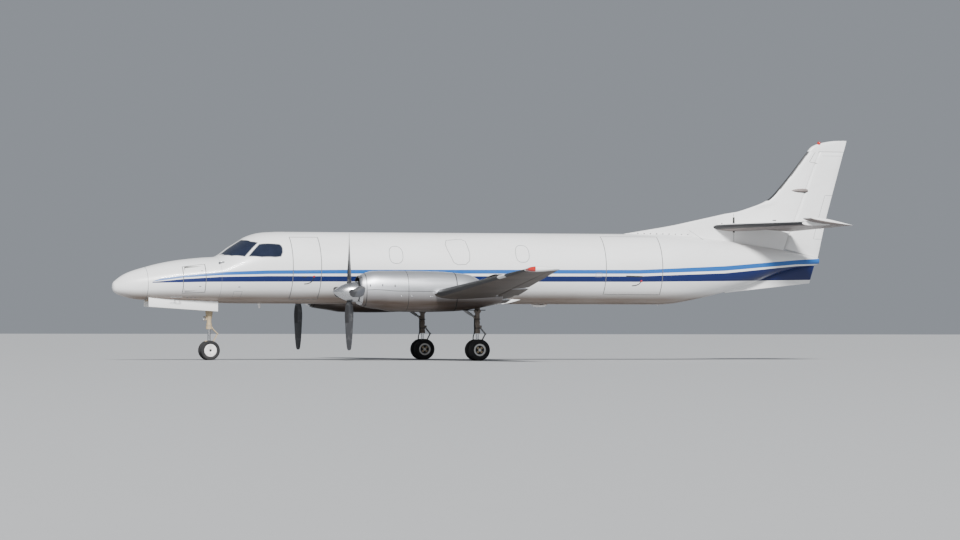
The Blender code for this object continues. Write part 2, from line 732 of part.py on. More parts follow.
def tailplane_le(y):
    return mix(TAILPLANE_ROOT_LE, TAILPLANE_TIP_LE, abs(y) / TAILPLANE_HALF_SPAN)


def tailplane_te(y):
    return mix(TAILPLANE_ROOT_TE, TAILPLANE_TIP_TE, abs(y) / TAILPLANE_HALF_SPAN)


def tailplane_point(y, share, upper, thin=1.0):
    chord = tailplane_te(y) - tailplane_le(y)
    lift = half_thickness(share, TAILPLANE_THICKNESS * thin) * chord
    z = mix(TAILPLANE_ROOT_Z, TAILPLANE_TIP_Z, abs(y) / TAILPLANE_HALF_SPAN)
    return at(tailplane_le(y) + share * chord, y, z + (lift if upper else -lift))


def tailplane_ring(y, thin=1.0):
    upper = [tailplane_point(y, share, True, thin) for share in CHORD_STEPS]
    lower = [tailplane_point(y, share, False, thin) for share in reversed(CHORD_STEPS[:-1])]
    return upper + lower


def elevator_hinge(y):
    upper = tailplane_point(y, ELEVATOR_CHORD, True)
    lower = tailplane_point(y, ELEVATOR_CHORD, False)
    return (upper + lower) / 2, (upper - lower).length / 2


def elevator_sweep():
    root, tip = elevator_hinge(0.0)[0], elevator_hinge(TAILPLANE_HALF_SPAN)[0]
    return math.atan2(tip.x - root.x, TAILPLANE_HALF_SPAN)


def elevator_ring(y):
    centre, radius = elevator_hinge(y)
    shares = (1.0, 0.85)
    ring = [tailplane_point(y, share, True) for share in shares]
    ring += round_nose(centre, radius, Vector((0, 0, 1)), elevator_sweep(), ELEVATOR_DROOP)
    return ring + [tailplane_point(y, share, False) for share in reversed(shares)]


def elevator_line(y):
    centre, radius = elevator_hinge(y)
    return centre, radius / math.cos(elevator_sweep())


def build_tailplane(side, word, fin_guide):
    half = TAILPLANE_HALF_SPAN
    inner = 0.16
    horn_start = half - HORN_SPAN
    clear = END_CLEARANCE
    rings = [tailplane_ring(side * y) for y in (0.02, inner, 1.2, horn_start - clear)]
    plane = loft("tailplane_" + word, rings, "paint_white")
    rings = []
    for y in (inner - clear, horn_start + 0.1):
        centre, reach = elevator_line(side * y)
        front = centre.x - reach - SURFACE_CLEARANCE
        back = at(tailplane_te(y), 0, 0).x + 0.2
        rings.append([Vector((front, side * y, 2.8)), Vector((back, side * y, 2.8)),
                      Vector((back, side * y, 3.6)), Vector((front, side * y, 3.6))])
    cut(plane, loft("elevator_cove_" + word, rings, "paint_white"))
    cut(plane, fin_guide)
    join(plane, [hinge_lug("elevator_lug_%d_%s" % (i, word), elevator_line,
                           (side * (y - 0.015), side * (y + 0.015)), Vector((0, 0, 1)), 0.01,
                           0.04, "aluminium") for i, y in enumerate(ELEVATOR_LUGS)])

    elevator = loft("elevator_" + word,
                    [elevator_ring(side * y) for y in (inner, 1.2, horn_start + 0.03)],
                    "paint_white")
    horn_rings = [tailplane_ring(side * y, thin) for y, thin in
                  ((horn_start, 1.0), (half - 0.04, 1.0), (half, 0.5))]
    horn = loft("elevator_horn_" + word, horn_rings, "paint_white")
    join(elevator, [horn])
    root, tip = elevator_hinge(side * inner)[0], elevator_hinge(side * half)[0]
    middle = (root + tip) / 2
    axis = (tip - root) * side
    tilt(elevator, middle, axis, ELEVATOR_DROOP)
    tilt(horn, middle, axis, ELEVATOR_DROOP)
    pivot(elevator, middle)


def rudder_hinge_x(z):
    (s0, z0), (s1, z1) = RUDDER_HINGE_LOW, RUDDER_HINGE_HIGH
    return s0 + (s1 - s0) * (z - z0) / (z1 - z0)


def fin_le(z):
    """Station of the fin's leading edge at a height."""
    if z <= FIN_PROFILE[0][1]:
        return FIN_PROFILE[0][0]
    for (s0, z0), (s1, z1) in zip(FIN_PROFILE, FIN_PROFILE[1:]):
        if z0 <= z <= z1 and z1 > z0:
            return s0 + (s1 - s0) * (z - z0) / (z1 - z0)
    return FIN_PROFILE[-1][0]


def fin_te(z):
    for (s0, z0), (s1, z1) in zip(FIN_TE, FIN_TE[1:]):
        if z <= z1:
            return s0 + (s1 - s0) * (z - z0) / (z1 - z0)
    return FIN_TE[-1][0]


def fin_thickness(z):
    return line_at(FIN_HALF_THICKNESS, z)


MAIN_FIN_FOOT = 15.5
MAIN_FIN_SLOPE = 0.7846


def fin_ring(z, back, grow=0.0):
    """Horizontal section: thin dorsal ridge, then the fin's full thickness."""
    front = fin_le(z) - grow
    main = max(front, MAIN_FIN_FOOT + MAIN_FIN_SLOPE * (z - 2.98))
    full = fin_thickness(z) + grow
    chord = fin_te(z) - main
    ridge = min(0.035 + 0.02 * (main - front), full * 0.55) + grow
    half = [(front, 0.012 + grow)]
    if main - front > 0.3:
        half += [(front + 0.1, ridge * 0.7), (main, ridge)]
    else:
        half += [(front + 0.03, full * 0.45), (front + 0.08, full * 0.62)]
    half += [(main + 0.15 * chord, full * 0.85), (main + 0.35 * chord, full)]
    half += [(back, full * 0.93)]
    port = [at(s, -t, z) for s, t in half]
    starboard = [at(s, t, z) for s, t in reversed(half)]
    return port + starboard


def fin_solid(name, grow=0.0):
    heights = [2.6] + [z for _, z in FIN_PROFILE[1:13]] + [4.7, RUDDER_TOP_Z]
    rings = []
    for z in heights:
        back = rudder_hinge_x(z) - rudder_line(z)[1] - RUDDER_NOSE_CLEARANCE
        rings.append(fin_ring(z, back, grow))
    return loft(name, rings, "paint_white")


def fin_cap():
    """Tip of the fin above the rudder, reaching back to the trailing edge."""
    rings = []
    for z, front, back, half in ((RUDDER_TOP_Z - 0.002, 17.097, 18.021, 0.052),
                                 (5.107, 17.189, 18.05, 0.05), (5.183, 17.35, 18.072, 0.042),
                                 (5.233, 17.57, 18.085, 0.03), (5.262, 17.79, 18.09, 0.018),
                                 (5.27, 17.95, 18.09, 0.008)):
        shape = ((front, 0.25), (front + 0.08, 0.8), (mix(front, back, 0.4), 1.0),
                 (back, 0.2))
        rings.append([at(s, -half * t, z) for s, t in shape]
                     + [at(s, half * t, z) for s, t in reversed(shape)])
    return loft("fin_cap", rings, "paint_white")


def build_fin():
    fin = fin_solid("fin")
    lugs = [hinge_lug("rudder_lug_%d" % i, rudder_line, (z - 0.02, z + 0.02),
                      Vector((0, 1, 0)), 0.015, 0.06, "aluminium")
            for i, z in enumerate(RUDDER_LUGS)]
    join(fin, [fin_cap()] + lugs)
    cone_guide = hull_solid("fin_foot_cutter", [12.0, 13.3, *CONE_STATIONS], grow=6 * SEAM)
    cut(fin, cone_guide)
    guide = fin_solid("fin_guide", grow=3 * SEAM)
    guide.hide_render = True
    return guide


def rudder_sweep():
    (s0, z0), (s1, z1) = RUDDER_HINGE_LOW, RUDDER_HINGE_HIGH
    return math.atan2(s1 - s0, z1 - z0)


def rudder_line(z):
    """Hinge point and the nose's reach ahead of it."""
    reach = fin_thickness(z) * 0.93 / math.cos(rudder_sweep())
    return at(rudder_hinge_x(z), 0.0, z), reach


def rudder_ring(z):
    hinge, radius = rudder_hinge_x(z), fin_thickness(z) * 0.93
    back = fin_te(z)
    ring = round_nose(at(hinge, 0.0, z), radius, Vector((0, -1, 0)), rudder_sweep())
    mid = mix(hinge, back, 0.5)
    return ring + [at(mid, radius * 0.6, z), at(back, 0.006, z), at(back, -0.006, z),
                   at(mid, -radius * 0.6, z)]


def rudder_foot_ring():
    """Lowest section, sloping down towards the trailing edge just over the tail cone."""
    hinge = at(rudder_hinge_x(RUDDER_FOOT_Z), 0.0, RUDDER_FOOT_Z).x
    chord = fin_te(RUDDER_FOOT_Z) - rudder_hinge_x(RUDDER_FOOT_Z)
    ring = []
    for point in rudder_ring(RUDDER_FOOT_Z):
        behind = point.x - hinge
        z = RUDDER_FOOT_Z - RUDDER_FOOT_SLOPE * behind
        if behind > 0:
            behind *= (fin_te(z) - rudder_hinge_x(z)) / chord
        ring.append(at(rudder_hinge_x(z) + behind, point.y, z))
    return ring


def build_rudder():
    rings = [rudder_foot_ring()]
    rings += [rudder_ring(z) for z in (3.2, 3.9, 4.6, RUDDER_TOP_Z - RUDDER_TOP_GAP)]
    rudder = loft("rudder", rings, "paint_white")
    foot, head = (at(rudder_hinge_x(z), 0, z) for z in (RUDDER_FOOT_Z, RUDDER_TOP_Z))
    pivot(rudder, (foot + head) / 2)


def build_ventral_fin():
    half = VENTRAL_THICKNESS / 2
    rings = [[at(s, y, z) for s, z in VENTRAL_PROFILE] for y in (-half, half)]
    plate = loft("ventral_fin", rings, "paint_white")
    cut(plate, hull_solid("ventral_top_cutter", CONE_STATIONS[2:], grow=2 * SEAM))


# Power plants

def cowl_ring(station, y, inset=0.0):
    top = line_at(COWL_TOP, station) - inset
    bottom = line_at(COWL_BOTTOM, station) + inset
    width = line_at(COWL_WIDTH, station) - inset
    middle, rise = (top + bottom) / 2, (top - bottom) / 2
    power = 2 / COWL_SQUARENESS
    ring = []
    for k in range(COWL_SIDES):
        angle = 2 * math.pi * k / COWL_SIDES
        across = math.copysign(abs(math.sin(angle)) ** power, math.sin(angle))
        up = math.copysign(abs(math.cos(angle)) ** power, math.cos(angle))
        ring.append(at(station, y - width * across, middle + rise * up))
    return ring


def wing_and_above(name, y, up):
    """Wing section stretched far up or down, which parts the nacelle at the wing."""
    rings = []
    for near in NOTCH_SPANS:
        near = math.copysign(near, y)
        ring = []
        for point in wing_ring(near, grow=2 * SEAM):
            beyond = (point.z - wing_z(near)) * up > 0
            ring.append(point + Vector((0, 0, up)) if beyond else point)
        rings.append(ring)
    return loft(name, rings, "aluminium")


def build_power_plant(side, word):
    y = side * ENGINE_Y
    notch = wing_span_solid("nacelle_notch_" + word, [side * a for a in NOTCH_SPANS], 2 * SEAM)
    fronts = [COWL_START, 5.416, 5.62, 6.081, 6.83, 7.2, COWL_END - SEAM]
    cowling = loft("cowling_" + word, [cowl_ring(s, y) for s in fronts], "aluminium")
    void = [cowl_ring(s, y, COWL_WALL) for s in (COWL_START + 0.04, 5.416, 5.62, 6.081, FIREWALL)]
    cut(cowling, loft("cowl_void_" + word, void, "interior"))
    cut(cowling, box("intake_cutter_" + word, at(5.1, y - 0.13, 1.845),
                     at(5.4, y + 0.13, 1.925), "interior"))
    cut(cowling, rod("shaft_hole_" + word, at(5.1, y, THRUST_Z), at(5.35, y, THRUST_Z),
                     SHAFT_RADIUS + 0.012, "interior", sides=16))
    cut(cowling, notch)

    rears = [COWL_END + SEAM, 7.935, 8.138, 8.4, NACELLE_END]
    nacelle = loft("nacelle_" + word, [cowl_ring(s, y) for s in rears], "aluminium")
    cut(nacelle, wing_and_above("nacelle_top_cutter_" + word, y, 1))
    fairing = loft("nacelle_top_" + word, [cowl_ring(s, y) for s in rears], "aluminium")
    cut(fairing, wing_and_above("nacelle_low_cutter_" + word, y, -1))
    cut(nacelle, rod("leg_socket_" + word, at(MAIN_STATION, y, 0.9), at(MAIN_STATION, y, 1.3),
                     LEG_RADIUS + SEAM * 4, "interior"))
    duct = exhaust_path(y)
    mouth = [duct[0] - (duct[1] - duct[0]) * 0.01] + duct[1:]
    cut(fairing, tube_along("duct_hole_" + word, mouth, EXHAUST_RADIUS + 2 * SEAM))

    pipe = tube_along("exhaust_" + word, duct, EXHAUST_RADIUS)
    bore = [mix(duct[0], duct[1], 0.3)] + duct[1:-1] + [duct[-1] + Vector((0.1, 0, 0))]
    cut(pipe, tube_along("exhaust_bore_" + word, bore, EXHAUST_RADIUS - 0.015))
    cut(pipe, notch)

    start, end, half, low, high = ENGINE_BLOCK
    box("engine_" + word, at(start, y - half, low), at(end, y + half, high), "steel", bevel=0.05)


def exhaust_path(y):
    return [at(8.08, y, 1.69), at(8.26, y, 1.71), at(8.4, y, 1.776), at(8.5, y, 1.832),
            at(8.6, y, 1.852), at(8.86, y, 1.852)]


def tube_along(name, path, radius, sides=16):
    rings = []
    for i, point in enumerate(path):
        before, after = path[max(i - 1, 0)], path[min(i + 1, len(path) - 1)]
        along = (after - before).normalized()
        up = along.cross(Vector((0, 1, 0))).normalized() * -1
        across = Vector((0, 1, 0))
        ring = []
        for k in range(sides):
            angle = 2 * math.pi * k / sides
            ring.append(point + (up * math.cos(angle) + across * math.sin(angle)) * radius)
        rings.append(ring)
    return loft(name, rings, "exhaust")


BLADE_STATIONS = ((0.16, 0.05, 0.045, 50.0), (0.32, 0.105, 0.024, 41.0),
                  (0.6, 0.14, 0.014, 30.0), (1.0, 0.135, 0.009, 21.0),
                  (1.27, 0.105, 0.005, 16.0), (PROP_RADIUS, 0.06, 0.003, 15.0))


def blade_rings(centre, turn):
    """Blade sections: radius, half-chord, half-thickness and pitch from the disc plane."""
    rings = []
    for radius, half, thick, pitch in BLADE_STATIONS:
        twist = math.radians(pitch)
        chordwise = Vector((math.sin(twist), math.cos(twist), 0))
        normal = Vector((math.cos(twist), -math.sin(twist), 0))
        ring = []
        for across, lift in ((1, 0.0), (0.4, 1.0), (-0.6, 1.0), (-1, 0.0), (-0.6, -1.0),
                             (0.4, -1.0)):
            point = chordwise * half * across + normal * thick * lift + Vector((0, 0, radius))
            ring.append(centre + Matrix.Rotation(turn, 3, "X") @ point)
        rings.append(ring)
    return rings


def build_propeller(side, word):
    y = side * ENGINE_Y
    length = SPINNER_BASE - SPINNER_TIP
    profile = [(0.0, 0.0)]
    for share in (0.02, 0.1, 0.25, 0.5, 0.75, 1.0):
        profile.append((length * share, SPINNER_RADIUS * (1 - (1 - share) ** SPINNER_POINT)))
    shaft_end = ENGINE_BLOCK[0] - SEAM * 3 - SPINNER_TIP
    profile += [(length, SHAFT_RADIUS), (shaft_end, SHAFT_RADIUS), (shaft_end, 0.0)]
    hub = turned("propeller_" + word, profile, at(SPINNER_TIP, y, THRUST_Z), Vector((1, 0, 0)),
                 24, "aluminium", closed=False)
    centre = at(PROP_STATION, y, THRUST_Z)
    blades = []
    for k in range(BLADES):
        turn = 2 * math.pi * k / BLADES
        blades.append(loft("blade_%d_%s" % (k, word), blade_rings(centre, turn), "blade"))
    join(hub, blades)
    pivot(hub, centre)


# Landing gear

LEG_RADIUS = 0.065
PISTON_RADIUS = 0.038
AXLE_RADIUS = 0.028
BOSS_RADIUS = 0.055


def tyre(name, centre, radius, width):
    """Tyre as a turned ring, its bead on the wheel's rim."""
    rim = radius * 0.56
    crown = radius / math.cos(math.pi / WHEEL_SIDES)
    half = width / 2
    profile = ((-half * 0.72, rim), (half * 0.72, rim), (half, radius * 0.76),
               (half * 0.5, crown), (-half * 0.5, crown), (-half, radius * 0.76))
    return turned(name, profile, centre, Vector((0, 1, 0)), WHEEL_SIDES, "rubber")


def twin_hub(name, centre, twin, radius, width):
    """Two wheels on one axle: hub faces inside both tyres' rims."""
    rim = radius * 0.56 - SEAM
    half = width / 2 * 0.72
    inner, outer = twin - half, twin + half
    profile = [(-outer, 0.0), (-outer, 0.05), (-outer + 0.02, rim - 0.02),
               (-outer, rim), (-inner, rim), (-inner, AXLE_RADIUS)]
    profile += [(-a, r) for a, r in reversed(profile)]
    hub = turned(name, profile, centre, Vector((0, 1, 0)), WHEEL_SIDES, "steel", closed=False)
    pivot(hub, centre)
    return hub


def build_wheels(label, station, y, radius, width, twin):
    centre = at(station, y, radius)
    twin_hub(label + "_hub", centre, twin, radius, width)
    for offset, word in ((-twin, "port"), (twin, "starboard")):
        tyre(label + "_tyre_" + word, centre + Vector((0, offset, 0)), radius, width)


def axle_boss(name, station, y, radius, half_width):
    """Foot of a leg, which the wheels' axle passes through."""
    return rod(name, at(station, y - half_width, radius), at(station, y + half_width, radius),
               BOSS_RADIUS, "steel", sides=16)


def link_plate(name, start, end, half_width, thickness, finish_name):
    along = (end - start).normalized()
    normal = along.cross(Vector((0, 1, 0))).normalized() * thickness / 2
    across = Vector((0, half_width, 0))
    rings = [[point - across - normal, point + across - normal, point + across + normal,
              point - across + normal] for point in (start, end)]
    return loft(name, rings, finish_name)


def build_main_leg(side, word):
    y = side * MAIN_Y
    station, radius = MAIN_STATION, MAIN_WHEEL_RADIUS
    leg = rod("main_leg_" + word, at(station, y, 0.63), at(station, y, 1.3 - SEAM * 2),
              LEG_RADIUS, "gear_tan")
    brace = rod("brace_" + word, at(station - 0.02, y, 1.0), at(7.76, y, 1.21), 0.026, "steel")
    belly = [cowl_ring(s, y, -2 * SEAM) for s in (COWL_START, 7.567, COWL_END, 7.935)]
    cut(brace, loft("brace_top_cutter_" + word, belly, "steel"))
    parts = [
        brace,
        rod("piston_" + word, at(station, y, radius + BOSS_RADIUS - 0.01), at(station, y, 0.66),
            PISTON_RADIUS, "steel"),
        axle_boss("boss_" + word, station, y, radius, 0.08),
        link_plate("upper_link_" + word, at(station + 0.04, y, 0.79), at(8.34, y, 0.61), 0.05,
                   0.03, "steel"),
        link_plate("lower_link_" + word, at(8.335, y, 0.625), at(station + 0.03, y, 0.3), 0.04,
                   0.03, "steel"),
    ]
    join(leg, parts)
    cut(leg, axle_bore("axle_bore_" + word, station, y, radius, 0.2))


def axle_bore(name, station, y, radius, half):
    bore = (AXLE_RADIUS + BORE_SEAM) / math.cos(math.pi / WHEEL_SIDES)
    return rod(name, at(station, y - half, radius), at(station, y + half, radius), bore,
               "steel", sides=WHEEL_SIDES)


def build_nose_gear():
    station, radius = NOSE_STATION, NOSE_WHEEL_RADIUS
    leg = rod("nose_leg", at(station, 0, 0.785), at(station, 0, BAY_TOP_Z - SEAM), LEG_RADIUS,
              "gear_tan")
    trunnion = rod("nose_trunnion", at(station, -BAY_HALF_WIDTH + SEAM, 1.5),
                   at(station, BAY_HALF_WIDTH - SEAM, 1.5), 0.035, "gear_tan")
    lamp = turned("taxi_lamp", ((0.0, 0.0), (0.0, 0.055), (0.05, 0.05), (0.08, 0.02), (0.08, 0.0)),
                  at(station - 0.14, 0, 0.97), Vector((1, 0, 0)), 12, "steel", closed=False)
    join(leg, [trunnion, lamp])

    strut = rod("nose_strut", at(station, 0, radius + BOSS_RADIUS - 0.01), at(station, 0, 0.75),
                PISTON_RADIUS, "steel")
    parts = [
        rod("steering_collar", at(station, 0, 0.72), at(station, 0, 0.7845), 0.075, "steel"),
        axle_boss("nose_boss", station, 0, radius, 0.05),
        link_plate("nose_upper_link", at(station + 0.05, 0, 0.755), at(station + 0.21, 0, 0.61),
                   0.04, 0.025, "steel"),
        link_plate("nose_lower_link", at(station + 0.205, 0, 0.62), at(station + 0.02, 0, 0.29),
                   0.03, 0.025, "steel"),
    ]
    join(strut, parts)
    cut(strut, axle_bore("nose_axle_bore", station, 0, radius, 0.2))
    pivot(strut, at(station, 0, 0.75))


def main():
    clear_scene()
    build_nose()
    nose_gear_doors()
    build_cockpit()
    build_cabin()
    build_tail_cone()
    build_ventral_fin()
    fin_guide = build_fin()
    build_rudder()
    for side, word in ((PORT, "left"), (STARBOARD, "right")):
        build_wing(side, word)
        build_tailplane(side, word, fin_guide)
        build_power_plant(side, word)
        build_propeller(side, word)
        build_main_leg(side, word)
        build_wheels("main_" + word, MAIN_STATION, side * MAIN_Y, MAIN_WHEEL_RADIUS,
                     MAIN_TYRE_WIDTH, MAIN_TWIN)
    build_nose_gear()
    build_wheels("nose", NOSE_STATION, 0.0, NOSE_WHEEL_RADIUS, NOSE_TYRE_WIDTH, NOSE_TWIN)


main()
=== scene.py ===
"""Looks of a twin-turboprop commuter airliner in cargo fit, laid out as a Blender add-on.

Metres, +Z up, nose towards -X, port side towards -Y. A station is a distance aft of
the nose tip, and an angle round the hull is measured from the crown, positive to port.
"""
import json
import math

import bmesh
import bpy
from mathutils import Matrix, Vector


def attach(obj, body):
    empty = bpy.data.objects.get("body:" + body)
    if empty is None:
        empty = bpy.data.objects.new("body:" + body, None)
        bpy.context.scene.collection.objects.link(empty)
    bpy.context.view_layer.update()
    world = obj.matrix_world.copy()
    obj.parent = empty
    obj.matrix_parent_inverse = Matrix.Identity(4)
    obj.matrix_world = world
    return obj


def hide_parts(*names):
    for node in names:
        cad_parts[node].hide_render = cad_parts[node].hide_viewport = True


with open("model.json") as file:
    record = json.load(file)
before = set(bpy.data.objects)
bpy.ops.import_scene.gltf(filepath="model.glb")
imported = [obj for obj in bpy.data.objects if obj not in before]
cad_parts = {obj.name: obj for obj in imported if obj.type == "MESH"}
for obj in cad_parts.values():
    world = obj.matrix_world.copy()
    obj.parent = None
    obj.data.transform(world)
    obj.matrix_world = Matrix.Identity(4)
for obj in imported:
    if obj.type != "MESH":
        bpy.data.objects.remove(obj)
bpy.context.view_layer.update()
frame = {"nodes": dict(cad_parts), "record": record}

bl_info = {
    "name": "Commuter Airliner Parts",
    "version": (1, 0, 0),
    "blender": (4, 5, 0),
    "location": "3D View > Sidebar > Airliner",
    "description": "Builds the skins, glass, propellers, gear and stage of a commuter airliner",
    "category": "Add Mesh",
}

LENGTH = 18.09
SPAN = 17.37
FLOOR_Z = 1.552
PORT, STARBOARD = -1, 1
SIDES = ((PORT, "left"), (STARBOARD, "right"))

# Hull lines: station with height or half-width
TOP_LINE = ((0.0, 1.703), (0.013, 1.782), (0.077, 1.849), (0.205, 1.947), (0.35, 2.024),
            (0.53, 2.089), (0.768, 2.158), (1.058, 2.233), (1.351, 2.292), (1.642, 2.335),
            (2.172, 2.387), (2.4, 2.4), (2.78, 2.634), (3.056, 2.803), (3.162, 2.867),
            (3.284, 2.912), (3.438, 2.955), (3.592, 2.976), (3.853, 2.99), (3.95, 2.994),
            (13.3, 2.994), (14.0, 2.955), (14.7, 2.88), (15.6, 2.765), (16.57, 2.62),
            (17.37, 2.44))
BOTTOM_LINE = ((0.0, 1.703), (0.013, 1.624), (0.077, 1.553), (0.167, 1.509), (0.315, 1.461),
               (0.495, 1.42), (0.733, 1.395), (2.549, 1.33), (2.813, 1.321), (3.2, 1.318),
               (13.3, 1.318), (13.6, 1.335), (13.933, 1.388), (14.697, 1.55),
               (15.616, 1.813), (16.233, 2.034), (16.818, 2.182), (17.37, 2.3))
WIDTH_LINE = ((0.0, 0.0), (0.013, 0.08), (0.077, 0.15), (0.205, 0.24), (0.35, 0.305),
              (0.53, 0.365), (0.768, 0.43), (1.058, 0.5), (1.351, 0.56), (1.642, 0.62),
              (2.172, 0.7), (2.4, 0.735), (2.78, 0.785), (3.056, 0.81), (3.44, 0.83),
              (3.95, 0.838), (13.3, 0.838), (13.933, 0.775), (14.697, 0.655),
              (15.616, 0.47), (16.233, 0.34), (16.818, 0.235), (17.37, 0.1))
WAIST_LINE = ((0.0, 1.703), (0.53, 1.74), (1.058, 1.8), (1.642, 1.88), (2.4, 1.98),
              (3.056, 2.09), (3.6, 2.156), (13.3, 2.156), (14.697, 2.215), (15.616, 2.29),
              (16.818, 2.4), (17.37, 2.375))
CONE_END = 17.37
CABIN_HALF_WIDTH, CABIN_WAIST_Z = 0.838, 2.156

# Openings: station range, crown-side angle, keel-side angle
AIRSTAIR = (4.124, 4.787, 32.8, 150.0)
CARGO_DOOR = (11.763, 13.149, 24.6, 135.6)
NOSE_HATCH = (1.564, 2.063, 50.0, 127.0)

# Gear bay, nose hold, rear bulkhead and lining
BAY_START, BAY_END, BAY_HALF_WIDTH, BAY_TOP_Z = 0.84, 2.385, 0.215, 1.72
HOLD_FLOOR_Z, HOLD_TOP_Z = 1.8, 2.17
BULKHEAD_FRONT, BULKHEAD_BACK = 13.42, 13.46
LINING_INSET = 0.045

# Upper and lower edge of each pane: station and angle
WINDSHIELD = (((3.035, 5.0), (3.072, 15.5), (3.19, 32.6), (3.335, 41.2)),
              ((2.535, 7.0), (2.575, 26.4), (2.71, 45.4), (2.987, 61.4)))
SIDE_WINDOW = (((3.36, 45.8), (3.58, 47.4), (3.828, 49.6), (3.874, 53.5), (3.886, 58.0)),
               ((3.07, 64.0), (3.378, 71.4), (3.7, 73.2), (3.83, 72.2), (3.88, 65.0)))

# Stripe edges along the hull: station with height
LIGHT_TOP = ((0.85, 1.828), (1.05, 1.897), (1.57, 1.97), (2.4, 2.046), (3.52, 2.089),
             (5.24, 2.108), (9.13, 2.124), (12.59, 2.135), (14.78, 2.234), (16.73, 2.39),
             (17.36, 2.431))
LIGHT_LOW = ((0.85, 1.822), (1.57, 1.915), (2.4, 1.97), (3.52, 2.0), (5.24, 2.015),
             (12.59, 2.041), (14.78, 2.122), (16.74, 2.285), (17.36, 2.302))
DARK_TOP = ((0.85, 1.812), (1.57, 1.884), (2.4, 1.935), (3.52, 1.957), (5.24, 1.959),
            (12.59, 1.984), (14.79, 2.066), (16.75, 2.247), (17.36, 2.27))
DARK_LOW = ((0.85, 1.79), (2.1, 1.814), (3.53, 1.823), (5.26, 1.831), (12.6, 1.85),
            (14.82, 1.878), (16.82, 1.913), (17.36, 1.922))

# Panel lines on the hull's side: station with height
OVAL_CENTRES, OVAL_HALF_LENGTH, OVAL_HALF_HEIGHT = ((6.61, 2.46), (9.7, 2.5)), 0.165, 0.2
EXIT_LINE = ((7.85, 2.72), (7.9, 2.81), (8.26, 2.84), (8.36, 2.79), (8.41, 2.5), (8.39, 2.33),
             (8.3, 2.245), (8.1, 2.235), (8.0, 2.29), (7.87, 2.6), (7.85, 2.72))
REAR_PANEL = ((11.5, 1.962), (11.65, 1.962), (11.65, 2.062), (11.5, 2.062), (11.5, 1.962))
NOSE_PANEL = ((2.75, 1.6), (2.95, 1.6), (2.93, 1.42), (2.75, 1.42), (2.75, 1.6))

# Wing
WING_ROOT_LE, WING_LE_SLOPE = 6.792, 0.0684
WING_ROOT_TE, WING_TE_SLOPE = 9.36, 0.143
WING_ROOT_Z, WING_DIHEDRAL = 1.309, 0.0862
ROOT_THICKNESS, TIP_THICKNESS = 0.15, 0.115
CAMBER = 0.011
HINGE_CHORD = 0.765
FLAP_INNER, FLAP_OUTER, AILERON = (0.98, 1.74), (2.82, 4.33), (4.38, 8.42)
FLAP_DROOP = math.radians(5.0)
FLAP_HINGE_DROP = 0.14
SURFACE_CLEARANCE = 0.008
END_CLEARANCE = 0.014
FLAP_END_FLARE = 0.03
WING_BOOT = 0.055
BOOT_BREAK = (6.75, 7.2)
BOOT_SPANS = ((1.15, 1.83), (2.74, 8.35))
WHITE_TIP_START = 8.45
LENS_STATIONS, LENS_SPAN, LENS_HEIGHTS = (7.0, 7.56), (8.5, 8.8), (1.6, 2.6)

# Tail
TAILPLANE_HALF_SPAN = 2.43
TAILPLANE_LE = (14.66, 16.3)
TAILPLANE_TE = (16.57, 17.36)
TAILPLANE_Z = (3.17, 3.247)
TAILPLANE_THICKNESS, TAILPLANE_BOOT = 0.1, 0.05
ELEVATOR_CHORD = 0.66
ELEVATOR_DROOP = math.radians(10.0)
HORN_SPAN = 0.2
FIN_PROFILE = ((12.383, 2.9), (12.383, 2.985), (13.03, 3.094), (13.63, 3.195),
               (14.084, 3.291), (15.175, 3.53), (15.25, 3.533), (15.6, 3.632), (15.87, 3.727),
               (16.06, 3.82), (16.18, 3.915), (16.36, 4.108), (16.61, 4.398), (17.097, 5.004),
               (17.189, 5.107), (17.35, 5.183), (17.57, 5.233), (17.79, 5.262), (18.09, 5.27))
RUDDER_HINGE = ((16.57, 2.635), (17.335, 4.721))
RUDDER_TOP_Z = 5.004
RUDDER_FOOT_Z, RUDDER_FOOT_SLOPE = 2.64, 0.235
RUDDER_GAP = 0.012
FIN_TE = ((17.361, 2.442), (17.572, 3.399), (18.09, 5.253))
FIN_HALF_THICKNESS = ((2.6, 0.105), (3.2, 0.1), (4.1, 0.08), (5.0, 0.052), (5.27, 0.03))
MAIN_FIN_FOOT, MAIN_FIN_SLOPE = 15.5, 0.7846
FIN_BOOT_HEIGHTS, FIN_BOOT = (3.8, 4.99), 0.055
CAP_HALF_THICKNESS = ((5.002, 0.052), (5.107, 0.05), (5.183, 0.042), (5.233, 0.03),
                      (5.262, 0.018), (5.27, 0.008))
DORSAL_END = 15.175
VENTRAL_PROFILE = ((14.95, 1.7), (15.003, 1.601), (15.618, 1.67), (17.142, 1.838),
                   (17.267, 2.256), (17.2, 2.4), (15.6, 2.0))

# Power plants
ENGINE_Y, THRUST_Z = 2.285, 1.582
PROP_STATION, PROP_RADIUS = 5.06, 1.345
SPINNER_TIP, SPINNER_BASE, SPINNER_RADIUS = 4.659, 5.236, 0.238
SPINNER_POINT = 2.2
SPINNER_SHARES = (0.004, 0.02, 0.05, 0.1, 0.18, 0.28, 0.4, 0.52, 0.64, 0.76, 0.88, 0.97, 1.0)
BLADE_HALF_CHORD = ((0.16, 0.048), (0.24, 0.062), (0.32, 0.1), (0.6, 0.138), (1.0, 0.133),
                    (1.27, 0.103), (1.315, 0.084), (1.338, 0.055), (1.345, 0.02))
BLADE_HALF_THICKNESS = ((0.16, 0.045), (0.24, 0.036), (0.32, 0.024), (0.6, 0.014),
                        (1.0, 0.009), (1.27, 0.005), (1.345, 0.003))
BLADE_PITCH = ((0.16, 50.0), (0.32, 41.0), (0.6, 30.0), (1.0, 21.0), (1.27, 16.0),
               (1.345, 15.0))
BLADE_BOOT_START, BLADE_BOOT_END = 0.3, 0.75
COWL_SQUARENESS, COWL_POINTS = 2.5, 72
